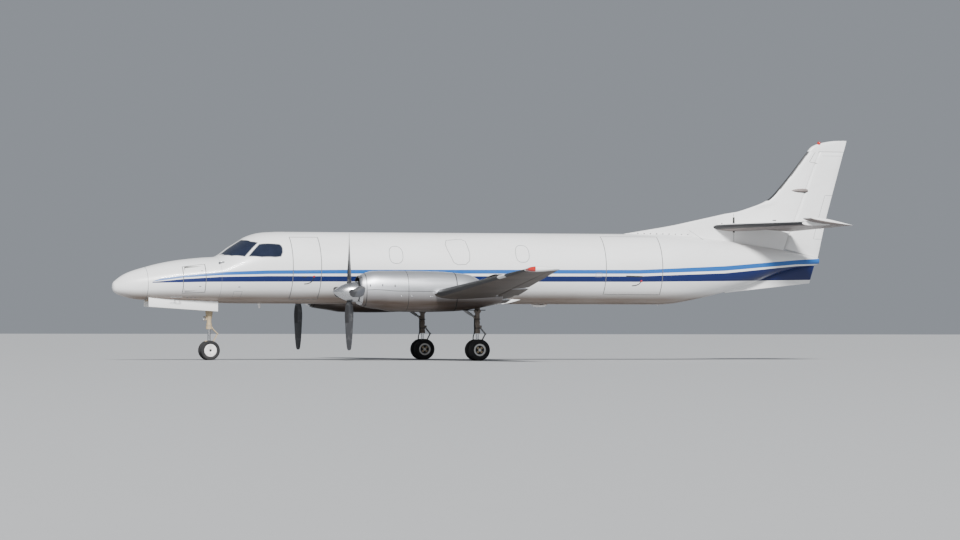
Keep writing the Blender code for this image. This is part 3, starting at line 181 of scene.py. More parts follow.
COWL_TOP = ((5.25, 1.951), (5.46, 2.032), (5.62, 2.068), (6.276, 2.075), (7.189, 2.06),
            (7.63, 2.027), (7.935, 1.984), (8.138, 1.879), (8.4, 1.76), (8.69, 1.62))
COWL_BOTTOM = ((5.25, 1.304), (5.416, 1.236), (5.798, 1.179), (6.081, 1.134),
               (6.83, 1.123), (7.567, 1.143), (7.962, 1.184), (8.4, 1.265), (8.69, 1.335))
COWL_WIDTH = ((5.25, 0.285), (5.416, 0.34), (5.62, 0.385), (6.081, 0.43), (6.83, 0.45),
              (7.63, 0.43), (8.138, 0.38), (8.4, 0.34), (8.69, 0.26))
COWL_START = 5.25
EXHAUST_RADIUS, EXHAUST_Z = 0.15, 1.852
EXHAUST_ROUTE = ((8.08, 1.69), (8.26, 1.71), (8.4, 1.776), (8.5, 1.832), (8.6, EXHAUST_Z),
                 (8.86, EXHAUST_Z))
INTAKE_LIP, INTAKE_RADIUS = 0.03, 0.25

# Landing gear
MAIN_STATION, MAIN_RADIUS, MAIN_WIDTH, MAIN_TWIN = 8.14, 0.2475, 0.17, 0.15
NOSE_STATION, NOSE_RADIUS, NOSE_WIDTH, NOSE_TWIN = 2.31, 0.2285, 0.12, 0.105
AXLE_RADIUS = 0.028
NOSE_DOOR_START, NOSE_DOOR_END = 0.812, 2.463
NOSE_DOOR_INNER_Y, NOSE_DOOR_OUTER_Y = 0.233, 0.249

# Stage
SKY_STRENGTH = 0.56
SUN_TILT, SUN_TURN, SUN_SPREAD = (math.radians(n) for n in (52.0, -14.0, 12.0))
FILL_PLACE, FILL_TILT = (-38.0, -148.0, 62.0), math.radians(68.0)
FILL_SIZE, FILL_POWER = 110.0, 52000.0
CAMERA_STATION, CAMERA_HEIGHT, CAMERA_DISTANCE = 8.0, 0.78, 130.0
CAMERA_ROLL = math.radians(0.07)
CAMERA_LENS, CAMERA_SENSOR, CAMERA_SHIFT = 207.0, 36.0, (0.0378, 0.0593)


class LiverySettings(bpy.types.PropertyGroup):
    white: bpy.props.FloatVectorProperty(
        name="White", description="Body colour", subtype="COLOR", size=3,
        min=0.0, max=1.0, default=(0.84, 0.84, 0.835))
    light_stripe: bpy.props.FloatVectorProperty(
        name="Light Stripe", description="Colour of the thin upper stripe", subtype="COLOR",
        size=3, min=0.0, max=1.0, default=(0.012, 0.105, 0.36))
    dark_stripe: bpy.props.FloatVectorProperty(
        name="Dark Stripe", description="Colour of the wide lower stripe", subtype="COLOR",
        size=3, min=0.0, max=1.0, default=(0.001, 0.01, 0.085))
    metal: bpy.props.FloatVectorProperty(
        name="Bare Metal", description="Colour of the wings and nacelles", subtype="COLOR",
        size=3, min=0.0, max=1.0, default=(0.52, 0.53, 0.55))


class HullSettings(bpy.types.PropertyGroup):
    skin_thickness: bpy.props.FloatProperty(
        name="Skin Thickness", description="Depth of the hull's shell with its lining",
        default=0.038, min=0.01, max=0.048, unit="LENGTH")
    around: bpy.props.IntProperty(
        name="Points Around", description="Points round each hull section",
        default=96, min=48, max=160)
    door_seam: bpy.props.FloatProperty(
        name="Door Seam", description="Gap shown round each door",
        default=0.009, min=0.006, max=0.02, unit="LENGTH")
    line_width: bpy.props.FloatProperty(
        name="Panel Line Width", description="Width of sealant lines between panels",
        default=0.012, min=0.004, max=0.03, unit="LENGTH")


class WingSettings(bpy.types.PropertyGroup):
    chord_points: bpy.props.IntProperty(
        name="Chord Points", description="Points along each side of a wing section",
        default=26, min=12, max=60)
    boot_share: bpy.props.FloatProperty(
        name="Boot Depth", description="Share of the chord that the rubber boot covers",
        default=WING_BOOT, min=0.02, max=0.12)


class PropellerSettings(bpy.types.PropertyGroup):
    blades: bpy.props.IntProperty(
        name="Blades", description="Blades on each propeller", default=4, min=2, max=6)
    radius: bpy.props.FloatProperty(
        name="Radius", description="Radius of the blade tips", default=PROP_RADIUS,
        min=1.0, max=PROP_RADIUS, unit="LENGTH")


class GearSettings(bpy.types.PropertyGroup):
    grooves: bpy.props.IntProperty(
        name="Tyre Grooves", description="Grooves round each tyre", default=4, min=2, max=6)
    wheel_bolts: bpy.props.IntProperty(
        name="Wheel Bolts", description="Bolts round each wheel", default=8, min=4, max=16)


class StageSettings(bpy.types.PropertyGroup):
    floor: bpy.props.FloatVectorProperty(
        name="Floor", description="Floor colour", subtype="COLOR", size=3,
        min=0.0, max=1.0, default=(0.38, 0.385, 0.39))
    backdrop: bpy.props.FloatVectorProperty(
        name="Backdrop", description="Colour behind the object", subtype="COLOR", size=3,
        min=0.0, max=1.0, default=(0.5, 0.54, 0.6))
    key_power: bpy.props.FloatProperty(
        name="Key Light", description="Strength of the sun lamp", default=7.0,
        min=0.0, max=20.0)
    azimuth: bpy.props.FloatProperty(
        name="Camera Azimuth", description="Direction that the camera looks from",
        default=math.radians(-16.38), subtype="ANGLE")


# Measures

AFT, ACROSS, UP = Vector((1, 0, 0)), Vector((0, 1, 0)), Vector((0, 0, 1))


def at(station, y, z):
    """Point from a station, y and height."""
    return Vector((station - LENGTH / 2, y, z))


def mix(first, second, share):
    return first + (second - first) * share


def line_at(line, station):
    """Value of a line of (station, value) points, straight between them."""
    if station <= line[0][0]:
        return line[0][1]
    for (s0, v0), (s1, v1) in zip(line, line[1:]):
        if station <= s1:
            return v0 + (v1 - v0) * (station - s0) / (s1 - s0)
    return line[-1][1]


def flow_at(line, station):
    """Value of a line of (station, value) points, curved without overshoot."""
    if station <= line[0][0]:
        return line[0][1]
    if station >= line[-1][0]:
        return line[-1][1]
    steps = [b[0] - a[0] for a, b in zip(line, line[1:])]
    slopes = [(b[1] - a[1]) / (b[0] - a[0]) for a, b in zip(line, line[1:])]

    def lean(i):
        if i == 0:
            return slopes[0]
        if i == len(line) - 1:
            return slopes[-1]
        before, after = slopes[i - 1], slopes[i]
        if before * after <= 0:
            return 0.0
        w1, w2 = 2 * steps[i] + steps[i - 1], steps[i] + 2 * steps[i - 1]
        return (w1 + w2) / (w1 / before + w2 / after)

    for i, (first, second) in enumerate(zip(line, line[1:])):
        if station <= second[0]:
            h = second[0] - first[0]
            t = (station - first[0]) / h
            return (first[1] * (2 * t ** 3 - 3 * t ** 2 + 1)
                    + h * lean(i) * (t ** 3 - 2 * t ** 2 + t)
                    + second[1] * (-2 * t ** 3 + 3 * t ** 2)
                    + h * lean(i + 1) * (t ** 3 - t ** 2))
    return line[-1][1]


def hull_rise(station, above=True):
    """Height of the hull over its waist, or its depth below."""
    waist = flow_at(WAIST_LINE, station)
    if above:
        return flow_at(TOP_LINE, station) - waist
    return waist - flow_at(BOTTOM_LINE, station)


def on_hull(station, degrees, inset=0.0):
    """Point of the hull at an angle from the crown, inset from the skin."""
    angle = math.radians(degrees)
    rise = max(hull_rise(station, math.cos(angle) >= 0) - inset, 0.0)
    width = max(flow_at(WIDTH_LINE, station) - inset, 0.0)
    waist = flow_at(WAIST_LINE, station)
    return at(station, -width * math.sin(angle), waist + rise * math.cos(angle))


def hull_angle(station, z):
    """Angle from the crown, on the port side, where the hull has a height."""
    waist = flow_at(WAIST_LINE, station)
    rise = hull_rise(station, z >= waist)
    return math.degrees(math.acos(max(-1.0, min(1.0, (z - waist) / rise))))


def spread(start, end, count):
    """Even steps from start to end, both included."""
    return [mix(start, end, i / count) for i in range(count + 1)]


def even_path(points, steps):
    """Straight path through the given points, finely divided."""
    path = []
    for first, second in zip(points, points[1:]):
        path += [tuple(mix(a, b, k / steps) for a, b in zip(first, second))
                 for k in range(steps)]
    return path + [points[-1]]


def smooth_route(points, steps=6):
    """Rounded path through the given points."""
    route = []
    ends = [points[0]] + points + [points[-1]]
    for a, b, c, d in zip(ends, ends[1:], ends[2:], ends[3:]):
        for k in range(steps):
            t = k / steps
            route.append(0.5 * ((2 * b) + (c - a) * t + (2 * a - 5 * b + 4 * c - d) * t * t
                                + (3 * b - a - 3 * c + d) * t ** 3))
    return route + [points[-1]]


def squared(value, squareness):
    """Sine or cosine, pushed out towards a rounded rectangle's."""
    return math.copysign(abs(value) ** (2 / squareness), value)


RING_ANGLES = spread(0.0, 1.9 * math.pi, 19)


# Modelling

def deselect():
    if bpy.context.mode != "OBJECT":
        bpy.ops.object.mode_set(mode="OBJECT")
    bpy.ops.object.select_all(action="DESELECT")


def choose(obj):
    deselect()
    obj.select_set(True)
    bpy.context.view_layer.objects.active = obj


def edit(obj):
    choose(obj)
    bpy.ops.object.mode_set(mode="EDIT")
    bpy.ops.mesh.select_all(action="SELECT")


def apply_modifier(obj, kind, **values):
    choose(obj)
    modifier = obj.modifiers.new(kind.title(), kind)
    for key, value in values.items():
        setattr(modifier, key, value)
    bpy.ops.object.modifier_apply(modifier=modifier.name)


def weld(obj, close=True):
    """Merge doubled points, close the ends and turn the faces outwards."""
    edit(obj)
    bpy.ops.mesh.remove_doubles(threshold=0.00002)
    bpy.ops.mesh.dissolve_degenerate(threshold=0.00002)
    if close:
        bpy.ops.mesh.select_all(action="SELECT")
        bpy.ops.mesh.fill_holes(sides=0)
    bpy.ops.mesh.select_all(action="SELECT")
    bpy.ops.mesh.normals_make_consistent(inside=False)
    bpy.ops.object.mode_set(mode="OBJECT")
    return obj


def skin(name, sections, around=True, close=True):
    """Grid whose rows are moved onto the sections, joined up all round and at the ends."""
    rows = len(sections) - 1
    columns = len(sections[0]) - (0 if around else 1)
    deselect()
    bpy.ops.mesh.primitive_grid_add(x_subdivisions=columns, y_subdivisions=rows, size=1.0)
    obj = bpy.context.object
    obj.name = name
    for vert in obj.data.vertices:
        column = round((vert.co.x + 0.5) * columns)
        row = round((vert.co.y + 0.5) * rows)
        vert.co = sections[row][column % len(sections[0])]
    return weld(obj, close)


def circle(centre, side, other, radius, sides):
    """Points round a centre, from its side direction towards the other."""
    angles = [2 * math.pi * k / sides for k in range(sides)]
    return [centre + (side * math.cos(a) + other * math.sin(a)) * radius for a in angles]


def turned(name, profile, centre, axis, sides):
    """Profile of (along, radius) points spun about an axis."""
    axis = axis.normalized()
    side = axis.orthogonal().normalized()
    other = axis.cross(side)
    return skin(name, [circle(centre + axis * along, side, other, radius, sides)
                       for along, radius in profile])


def rod(name, start, end, radius, sides, bevel=0.003):
    length = (end - start).length
    bevel = min(bevel, radius * 0.4, length * 0.4)
    profile = ((0.0, 0.0), (0.0, radius - bevel), (bevel, radius), (length - bevel, radius),
               (length, radius - bevel), (length, 0.0))
    return turned(name, profile, start, end - start, sides)


def block(name, low, high, bevel):
    deselect()
    bpy.ops.mesh.primitive_cube_add(size=1.0, location=(low + high) / 2)
    obj = bpy.context.object
    obj.name = name
    obj.scale = high - low
    bpy.ops.object.transform_apply(location=True, rotation=True, scale=True)
    if bevel:
        apply_modifier(obj, "BEVEL", width=bevel, segments=2, limit_method="ANGLE")
    return obj


def tube_path(name, path, radius, sides, ends=True):
    """Round bar or pipe along a path of points."""
    sections = []
    side = None
    for i, point in enumerate(path):
        ahead = path[min(i + 1, len(path) - 1)] - path[max(i - 1, 0)]
        ahead.normalize()
        if side is None:
            side = ahead.orthogonal().normalized()
        side = (side - ahead * side.dot(ahead)).normalized()
        sections.append(circle(point, side, ahead.cross(side), radius, sides))
    return skin(name, sections, close=ends)


def plate(name, start, end, half_width, thickness, across=ACROSS):
    """Bar of flat section between two points, wide across the given direction."""
    along = (end - start).normalized()
    normal = along.cross(across).normalized() * thickness / 2
    sections = []
    for point in (start, end):
        wide = across * half_width
        sections.append([point - wide - normal, point + wide - normal,
                         point + wide + normal, point - wide + normal])
    obj = skin(name, sections)
    apply_modifier(obj, "BEVEL", width=min(0.004, thickness * 0.3), segments=2,
                   limit_method="ANGLE")
    return obj


def strip(name, spots, width, lift=0.0012):
    """Thin strip along (point, outward direction) pairs."""
    loop = (spots[0][0] - spots[-1][0]).length < 1e-4
    sections = []
    for i, (point, out) in enumerate(spots):
        before = spots[i - 1 if i else (-2 if loop else 0)][0]
        after = spots[i + 1 if i + 1 < len(spots) else (1 if loop else i)][0]
        across = (after - before).normalized().cross(out).normalized() * width / 2
        top, low = point + out * lift, point - out * lift * 2
        sections.append([top - across, top + across, low + across, low - across])
    return skin(name, sections)


def carve(obj, cutter, operation="DIFFERENCE"):
    choose(obj)
    modifier = obj.modifiers.new("Carve", "BOOLEAN")
    modifier.operation = operation
    modifier.object = cutter
    modifier.solver = "EXACT"
    bpy.ops.object.modifier_apply(modifier=modifier.name)
    bpy.data.objects.remove(cutter)


def together(name, parts):
    """Parts made one piece, each keeping its own closed mesh."""
    deselect()
    for part in parts:
        part.select_set(True)
    bpy.context.view_layer.objects.active = parts[0]
    if len(parts) > 1:
        bpy.ops.object.join()
    obj = bpy.context.view_layer.objects.active
    obj.name = name
    return obj


def drop_faces(obj, test):
    """Delete the faces whose middle passes the test."""
    edit(obj)
    bpy.ops.mesh.select_mode(type="FACE")
    bpy.ops.mesh.select_all(action="DESELECT")
    mesh = bmesh.from_edit_mesh(obj.data)
    for face in mesh.faces:
        face.select = test(face.calc_center_median())
    bmesh.update_edit_mesh(obj.data)
    bpy.ops.mesh.delete(type="FACE")
    bpy.ops.object.mode_set(mode="OBJECT")


def repaint(obj, finish, test):
    """Give the faces that pass the test, by middle and normal, another finish."""
    obj.data.materials.append(material(finish))
    index = len(obj.data.materials) - 1
    for polygon in obj.data.polygons:
        if test(polygon.center, polygon.normal):
            polygon.material_index = index


def faces_down(_, normal):
    """True for the faces of an underside, which get painted shade."""
    return normal.z < -0.2


def turn_about(obj, point, axis, angle):
    turn = Matrix.Translation(point) @ Matrix.Rotation(angle, 4, axis) @ Matrix.Translation(-point)
    obj.data.transform(turn)


def dress(obj, finish, body="airframe", replaced=(), angle=32.0):
    """Finish a piece: material, soft shading, what carries it and what it stands for."""
    choose(obj)
    bpy.ops.object.shade_smooth_by_angle(angle=math.radians(angle))
    if not obj.data.materials:
        obj.data.materials.append(material(finish))
    else:
        obj.data.materials[0] = material(finish)
    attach(obj, body)
    if replaced:
        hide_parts(*replaced)
    return obj


# Finishes


class Nodes:
    """Small maker of shader nodes for one material."""

    def __init__(self, name):
        self.material = bpy.data.materials.new(name)
        self.material.use_nodes = True
        self.tree = self.material.node_tree
        self.shader = self.tree.nodes["Principled BSDF"]
        self.place = self.add("ShaderNodeTexCoord").outputs["Object"]

    def add(self, kind, **values):
        node = self.tree.nodes.new(kind)
        for key, value in values.items():
            setattr(node, key, value)
        return node

    def link(self, source, target):
        self.tree.links.new(source, target)

    def feed(self, socket, value):
        if isinstance(value, bpy.types.NodeSocket):
            self.link(value, socket)
        else:
            socket.default_value = value

    def math(self, operation, first, second=0.0, clamp=False):
        node = self.add("ShaderNodeMath", operation=operation, use_clamp=clamp)
        for socket, value in zip(node.inputs, (first, second)):
            self.feed(socket, value)
        return node.outputs[0]

    def axes(self):
        node = self.add("ShaderNodeSeparateXYZ")
        self.link(self.place, node.inputs[0])
        return node.outputs

    def noise(self, scale, detail, stretch=None):
        node = self.add("ShaderNodeTexNoise")
        node.inputs["Scale"].default_value = scale
        node.inputs["Detail"].default_value = detail
        node.inputs["Roughness"].default_value = 0.55
        source = self.place
        if stretch:
            mapping = self.add("ShaderNodeMapping")
            mapping.inputs["Scale"].default_value = stretch
            self.link(self.place, mapping.inputs["Vector"])
            source = mapping.outputs[0]
        self.link(source, node.inputs["Vector"])
        return node.outputs["Fac"]

    def spread(self, value, low, high, out_low, out_high):
        node = self.add("ShaderNodeMapRange")
        for key, number in (("From Min", low), ("From Max", high), ("To Min", out_low),
                            ("To Max", out_high)):
            node.inputs[key].default_value = number
        self.link(value, node.inputs["Value"])
        return node.outputs[0]

    def blend(self, share, first, second):
        node = self.add("ShaderNodeMix", data_type="RGBA", blend_type="MIX")
        self.feed(node.inputs[0], share)
        self.feed(node.inputs[6], first)
        self.feed(node.inputs[7], second)
        return node.outputs[2]

    def line(self, points, source):
        """Height of a stripe's edge along the hull, as a curve over the station."""
        node = self.add("ShaderNodeFloatCurve")
        curve = node.mapping.curves[0]
        while len(curve.points) > 2:
            curve.points.remove(curve.points[1])
        spots = [(s / 20.0, v / 4.0) for s, v in points]
        curve.points[0].location = (0.0, spots[0][1])
        curve.points[1].location = (1.0, spots[-1][1])
        for spot in spots:
            curve.points.new(*spot)
        for point in curve.points:
            point.handle_type = "VECTOR"
        node.mapping.update()
        self.link(self.math("DIVIDE", source, 20.0), node.inputs["Value"])
        return self.math("MULTIPLY", node.outputs[0], 4.0)

    def bump(self, height, strength, distance):
        node = self.add("ShaderNodeBump")
        node.inputs["Strength"].default_value = strength
        node.inputs["Distance"].default_value = distance
        self.link(height, node.inputs["Height"])
        self.link(node.outputs[0], self.shader.inputs["Normal"])

    def colour(self, source):
        self.link(source, self.shader.inputs["Base Color"])

    def rough(self, source, low, high, smoothest, roughest):
        """Roughness that follows a pattern between two of its values."""
        self.link(self.spread(source, low, high, smoothest, roughest),
                  self.shader.inputs["Roughness"])

    def plain(self, roughness=0.5, metallic=0.0, coat=0.0, ior=1.5):
        self.shader.inputs["Roughness"].default_value = roughness
        self.shader.inputs["Metallic"].default_value = metallic
        self.shader.inputs["Coat Weight"].default_value = coat
        self.shader.inputs["IOR"].default_value = ior


def rgba(colour, factor=1.0):
    return (colour[0] * factor, colour[1] * factor, colour[2] * factor, 1.0)


def rivet_rows(nodes, spacing, pitch):
    """Height of small domed heads in rows along and round the hull."""
    x, y, z = nodes.axes()
    rise = nodes.math("SUBTRACT", z, CABIN_WAIST_Z)
    angle = nodes.math("ARCTAN2", y, rise)
    around = nodes.math("MULTIPLY", angle, CABIN_HALF_WIDTH)
    row = nodes.math("PINGPONG", x, spacing / 2)
    head = nodes.math("PINGPONG", around, pitch / 2)
    across = nodes.math("ADD", nodes.math("POWER", row, 2.0), nodes.math("POWER", head, 2.0))
    dome = nodes.math("SUBTRACT", 1.0, nodes.math("DIVIDE", nodes.math("SQRT", across), 0.005))
    return nodes.math("MAXIMUM", dome, 0.0)


def painted_skin(name, colour):
    """White paint with faint dirt, uneven gloss and rivet rows."""
    nodes = Nodes(name)
    nodes.plain(coat=0.12)
    dirt = nodes.noise(0.9, 6.0, (0.6, 1.0, 2.2))
    fine = nodes.noise(14.0, 3.0)
    shade = nodes.blend(nodes.spread(dirt, 0.42, 0.75, 0.0, 0.16), colour,
                        rgba((0.5, 0.47, 0.42)))
    nodes.rough(fine, 0.2, 0.8, 0.26, 0.4)
    nodes.bump(rivet_rows(nodes, 0.48, 0.028), 0.35, 0.0012)
    return nodes, shade


def make_livery(livery):
    """White hull with its two stripes and a belly browned by painted shade and grime."""
    nodes, shade = painted_skin("livery", rgba(livery.white))
    x, _, z = nodes.axes()
    station = nodes.math("ADD", x, LENGTH / 2)
    started = nodes.math("MULTIPLY", nodes.math("SUBTRACT", station, 0.85), 400.0, clamp=True)
    for top, low, colour in ((LIGHT_TOP, LIGHT_LOW, livery.light_stripe),
                             (DARK_TOP, DARK_LOW, livery.dark_stripe)):
        under = nodes.math("SUBTRACT", nodes.line(top, station), z)
        over = nodes.math("SUBTRACT", z, nodes.line(low, station))
        inside = nodes.math("MULTIPLY", nodes.math("MINIMUM", under, over), 600.0, clamp=True)
        share = nodes.math("MULTIPLY", inside, started)
        shade = nodes.blend(share, shade, rgba(colour))
    # Painted shade and grime: warm brown mixed in below 1.64 m, in full by 1.44 m, patchy.
    belly = nodes.math("MULTIPLY", nodes.math("SUBTRACT", 1.64, z), 5.0, clamp=True)
    belly_patches = nodes.noise(1.6, 5.0, (0.35, 1.4, 1.0))
    belly_shade_and_grime = nodes.math("MULTIPLY", belly, nodes.spread(belly_patches, 0.3, 0.75, 0.8, 1.0))
    shade = nodes.blend(belly_shade_and_grime, shade, rgba((0.15, 0.085, 0.045)))
    nodes.colour(shade)
    return nodes.material


def make_white_paint(livery):
    nodes, shade = painted_skin("white paint", rgba(livery.white))
    nodes.colour(shade)
    return nodes.material


def metal_finish(name, colour, rough, metallic, grain=(1.0, 6.0, 6.0), spots=0.25):
    """Metal with brushed grain and darker blotches."""
    nodes = Nodes(name)
    nodes.plain(metallic=metallic)
    patches = nodes.noise(1.3, 3.0)
    grain_noise = nodes.noise(30.0, 5.0, grain)
    shade = nodes.blend(nodes.spread(patches, 0.3, 0.7, 0.0, spots), rgba(colour),
                        rgba(colour, 0.6))
    nodes.colour(shade)
    nodes.rough(grain_noise, 0.25, 0.75, rough - 0.07, rough + 0.09)
    nodes.bump(grain_noise, 0.12, 0.0008)
    return nodes.material


def make_nacelle_metal(livery):
    """Bare nacelle metal, browner underneath with painted shade and oil."""
    nodes = Nodes("nacelle metal")
    nodes.plain(metallic=0.75)
    z = nodes.axes()[2]
    patches = nodes.noise(1.8, 4.0)
    streaks = nodes.noise(2.5, 5.0, (0.3, 1.5, 3.0))
    shade = nodes.blend(nodes.spread(patches, 0.3, 0.7, 0.0, 0.3), rgba(livery.metal),
                        rgba(livery.metal, 0.65))
    # Painted shade and oil: dark brown mixed in below 1.66 m, in streaks.
    low = nodes.math("MULTIPLY", nodes.math("SUBTRACT", 1.66, z), 3.2, clamp=True)
    shade_and_oil = nodes.math("MULTIPLY", low, nodes.spread(streaks, 0.3, 0.75, 0.8, 1.0))
    shade = nodes.blend(shade_and_oil, shade, rgba((0.08, 0.05, 0.032)))
    nodes.colour(shade)
    nodes.rough(streaks, 0.25, 0.75, 0.3, 0.5)
    nodes.bump(rivet_rows(nodes, 0.3, 0.03), 0.25, 0.001)
    return nodes.material


def make_rubber(name, colour, rough, scale):
    """Dull rubber with fine grain and dust."""
    nodes = Nodes(name)
    grain = nodes.noise(scale, 5.0)
    dust = nodes.noise(3.0, 4.0)
    shade = nodes.blend(nodes.spread(dust, 0.45, 0.75, 0.0, 0.3), rgba(colour),
                        rgba((0.06, 0.056, 0.05)))
    nodes.colour(shade)
    nodes.rough(grain, 0.2, 0.8, rough - 0.08, rough + 0.1)
    nodes.bump(grain, 0.25, 0.0008)
    return nodes.material


def make_paint(name, colour, rough, chip=(0.2, 0.19, 0.18)):
    """Paint worn through in patches to another colour."""
    nodes = Nodes(name)
    nodes.plain(coat=0.1)
    wear = nodes.noise(9.0, 6.0)
    fine = nodes.noise(60.0, 3.0)
    shade = nodes.blend(nodes.spread(wear, 0.55, 0.8, 0.0, 0.7), rgba(colour), rgba(chip))
    nodes.colour(shade)
    nodes.rough(wear, 0.3, 0.8, rough - 0.1, rough + 0.15)
    nodes.bump(fine, 0.12, 0.0005)
    return nodes.material


def make_glass(name):
    """Dark, slightly see-through glass with smears."""
    nodes = Nodes(name)
    nodes.plain(roughness=0.05, coat=0.25, ior=1.5)
    smear = nodes.noise(5.0, 3.0)
    nodes.rough(smear, 0.3, 0.8, 0.03, 0.12)
    shade = nodes.blend(smear, rgba((0.008, 0.012, 0.026)), rgba((0.018, 0.025, 0.05)))
    nodes.colour(shade)
    nodes.shader.inputs["Alpha"].default_value = 0.82
    return nodes.material


def make_lamp(name, colour):
    """Glossy lens with a slightly uneven face."""
    nodes = Nodes(name)
    nodes.plain(roughness=0.12, coat=0.8, ior=1.45)
    ribs = nodes.noise(40.0, 2.0)
    shade = nodes.blend(ribs, rgba(colour), rgba(colour, 0.6))
    nodes.colour(shade)
    nodes.bump(ribs, 0.1, 0.001)
    return nodes.material


def make_burnt_metal(name):
    """Sooty metal, patchy from heat."""
    nodes = Nodes(name)
    nodes.plain(metallic=0.85)
    heat = nodes.noise(6.0, 5.0)
    shade = nodes.blend(nodes.spread(heat, 0.3, 0.75, 0.0, 1.0), rgba((0.012, 0.011, 0.011)),
                        rgba((0.034, 0.027, 0.022)))
    nodes.colour(shade)
    nodes.rough(heat, 0.2, 0.8, 0.45, 0.65)
    nodes.bump(heat, 0.15, 0.002)
    return nodes.material


def make_cloth(name):
    """Blue-grey woven cloth."""
    nodes = Nodes(name)
    weave = nodes.noise(400.0, 2.0, (1.0, 0.4, 1.0))
    shade = nodes.blend(weave, rgba((0.1, 0.12, 0.16)), rgba((0.05, 0.06, 0.085)))
    nodes.colour(shade)
    nodes.plain(roughness=0.9)
    nodes.bump(weave, 0.3, 0.001)
    return nodes.material


# Makers of the finishes, and what the plain ones are made with
LIVERY_FINISHES = {
    "livery": make_livery, "white paint": make_white_paint,
    "nacelle metal": make_nacelle_metal,
    "metal skin": lambda livery: metal_finish("metal skin", livery.metal, 0.42, 0.75),
}
PLAIN_FINISHES = {
    # Painted shade, with some dirt: dark brown metal for the undersides of the wings and their
    # surfaces.
    "soiled metal": (metal_finish, (0.13, 0.105, 0.088), 0.55, 0.35, (1.0, 6.0, 6.0), 0.8),
    # Painted shade, with some dirt: dark grey-brown paint for the tail's undersides and the fin's
    # scoops.
    "soiled paint": (make_paint, (0.19, 0.16, 0.15), 0.55, (0.12, 0.1, 0.09)),
    # Painted shade: dark brown for the main legs' casings, which stand in the shade of the
    # nacelles.
    "leg paint": (make_paint, (0.15, 0.12, 0.095), 0.5, (0.07, 0.06, 0.05)),
    "spinner metal": (metal_finish, (0.6, 0.6, 0.61), 0.24, 0.95),
    "wheel metal": (make_paint, (0.74, 0.73, 0.71), 0.42),
    "polished steel": (metal_finish, (0.66, 0.66, 0.67), 0.2, 1.0, (8.0, 8.0, 1.0), 0.1),
    "engine metal": (metal_finish, (0.3, 0.3, 0.3), 0.5, 0.8),
    "gear paint": (make_paint, (0.4, 0.31, 0.19), 0.5),
    "boot rubber": (make_rubber, (0.022, 0.022, 0.024), 0.55, 60.0),
    "tyre rubber": (make_rubber, (0.014, 0.014, 0.015), 0.85, 160.0),
    "sealant": (make_rubber, (0.16, 0.165, 0.17), 0.7, 120.0),
    # Near black, used both for dark trim, seams and fittings and as painted shade in openings and
    # under bulges.
    "dark recess": (make_rubber, (0.02, 0.02, 0.02), 0.85, 30.0),
    "burnt metal": (make_burnt_metal,),
    "blade paint": (make_paint, (0.045, 0.046, 0.05), 0.5, (0.16, 0.16, 0.16)),
    "cabin lining": (make_paint, (0.42, 0.42, 0.4), 0.75, (0.3, 0.3, 0.29)),
    "seat cloth": (make_cloth,),
    "cockpit glass": (make_glass,),
    "lamp red": (make_lamp, (0.55, 0.02, 0.015)),
    "lamp green": (make_lamp, (0.02, 0.35, 0.08)),
    "lamp clear": (make_lamp, (0.7, 0.72, 0.72)),
}


def material(name):
    """Material of a finish, made the first time that it's needed."""
    found = bpy.data.materials.get(name)
    if found:
        return found
    if name in LIVERY_FINISHES:
        return LIVERY_FINISHES[name](bpy.context.scene.airliner_livery)
    maker, *values = PLAIN_FINISHES[name]
    return maker(name, *values)


# Fuselage

def hull_section(station, angles, inset=0.0):
    return [on_hull(station, a, inset) for a in angles]


def hull_stations():
    """Stations of the skin, closer together at the nose, with one on every door edge."""
    edges = AIRSTAIR[:2] + CARGO_DOOR[:2] + NOSE_HATCH[:2]
    stations = [0.0, 0.004, 0.013, 0.03, 0.05, 0.077, 0.11, 0.155]
    stations += spread(0.205, 2.4, 26) + spread(2.45, 3.95, 26) + spread(4.1, 13.3, 42)
    stations += spread(13.4, CONE_END, 30)
    seam = bpy.context.scene.airliner_hull.door_seam
    for edge, sign in zip(edges, (-1, 1) * 3):
        exact = edge + sign * seam
        stations = [s for s in stations if abs(s - exact) > 0.012] + [exact]
    return sorted(stations)


def door_spread():
    """Degrees round the hull that a door's seam takes."""
    return math.degrees(bpy.context.scene.airliner_hull.door_seam / CABIN_HALF_WIDTH)


def hull_angles(count):
    """Angles of the skin's points, with one on every door edge."""
    wide = door_spread()
    edges = []
    for crown, keel in (AIRSTAIR[2:], CARGO_DOOR[2:], NOSE_HATCH[2:]):
        edges += [crown - wide, keel + wide]
    edges += [360 - NOSE_HATCH[2] + wide, 360 - NOSE_HATCH[3] - wide]
    angles = [360.0 * k / count for k in range(count)]
    for exact in edges:
        angles = [a for a in angles if abs(a - exact) > 1.3] + [exact]
    return sorted(angles)


def in_door(point, door, side):
    """True if a point of the hull lies inside a door's opening, seams included."""
    station = point.x + LENGTH / 2
    s0, s1, crown, keel = door
    seam = bpy.context.scene.airliner_hull.door_seam
    if not s0 - seam < station < s1 + seam or point.y * side < 0:
        return False
    up = point.z - flow_at(WAIST_LINE, station)
    width = flow_at(WIDTH_LINE, station)
    angle = math.degrees(math.atan2(abs(point.y) / width, up / hull_rise(station, up >= 0)))
    return crown - door_spread() < angle < keel + door_spread()


def hull_panel(name, edges, inset, thickness, rows=10, steps=12):
    """Curved panel of the hull between two edges through (station, angle) points."""
    first, second = (even_path(edge, steps) for edge in edges)
    sections = [[on_hull(mix(s0, s1, i / rows), mix(a0, a1, i / rows), inset)
                 for (s0, a0), (s1, a1) in zip(first, second)] for i in range(rows + 1)]
    obj = skin(name, sections, around=False, close=False)
    if thickness:
        flip_outwards(obj)
        apply_modifier(obj, "SOLIDIFY", thickness=thickness, offset=-1.0, use_even_offset=True)
    return obj


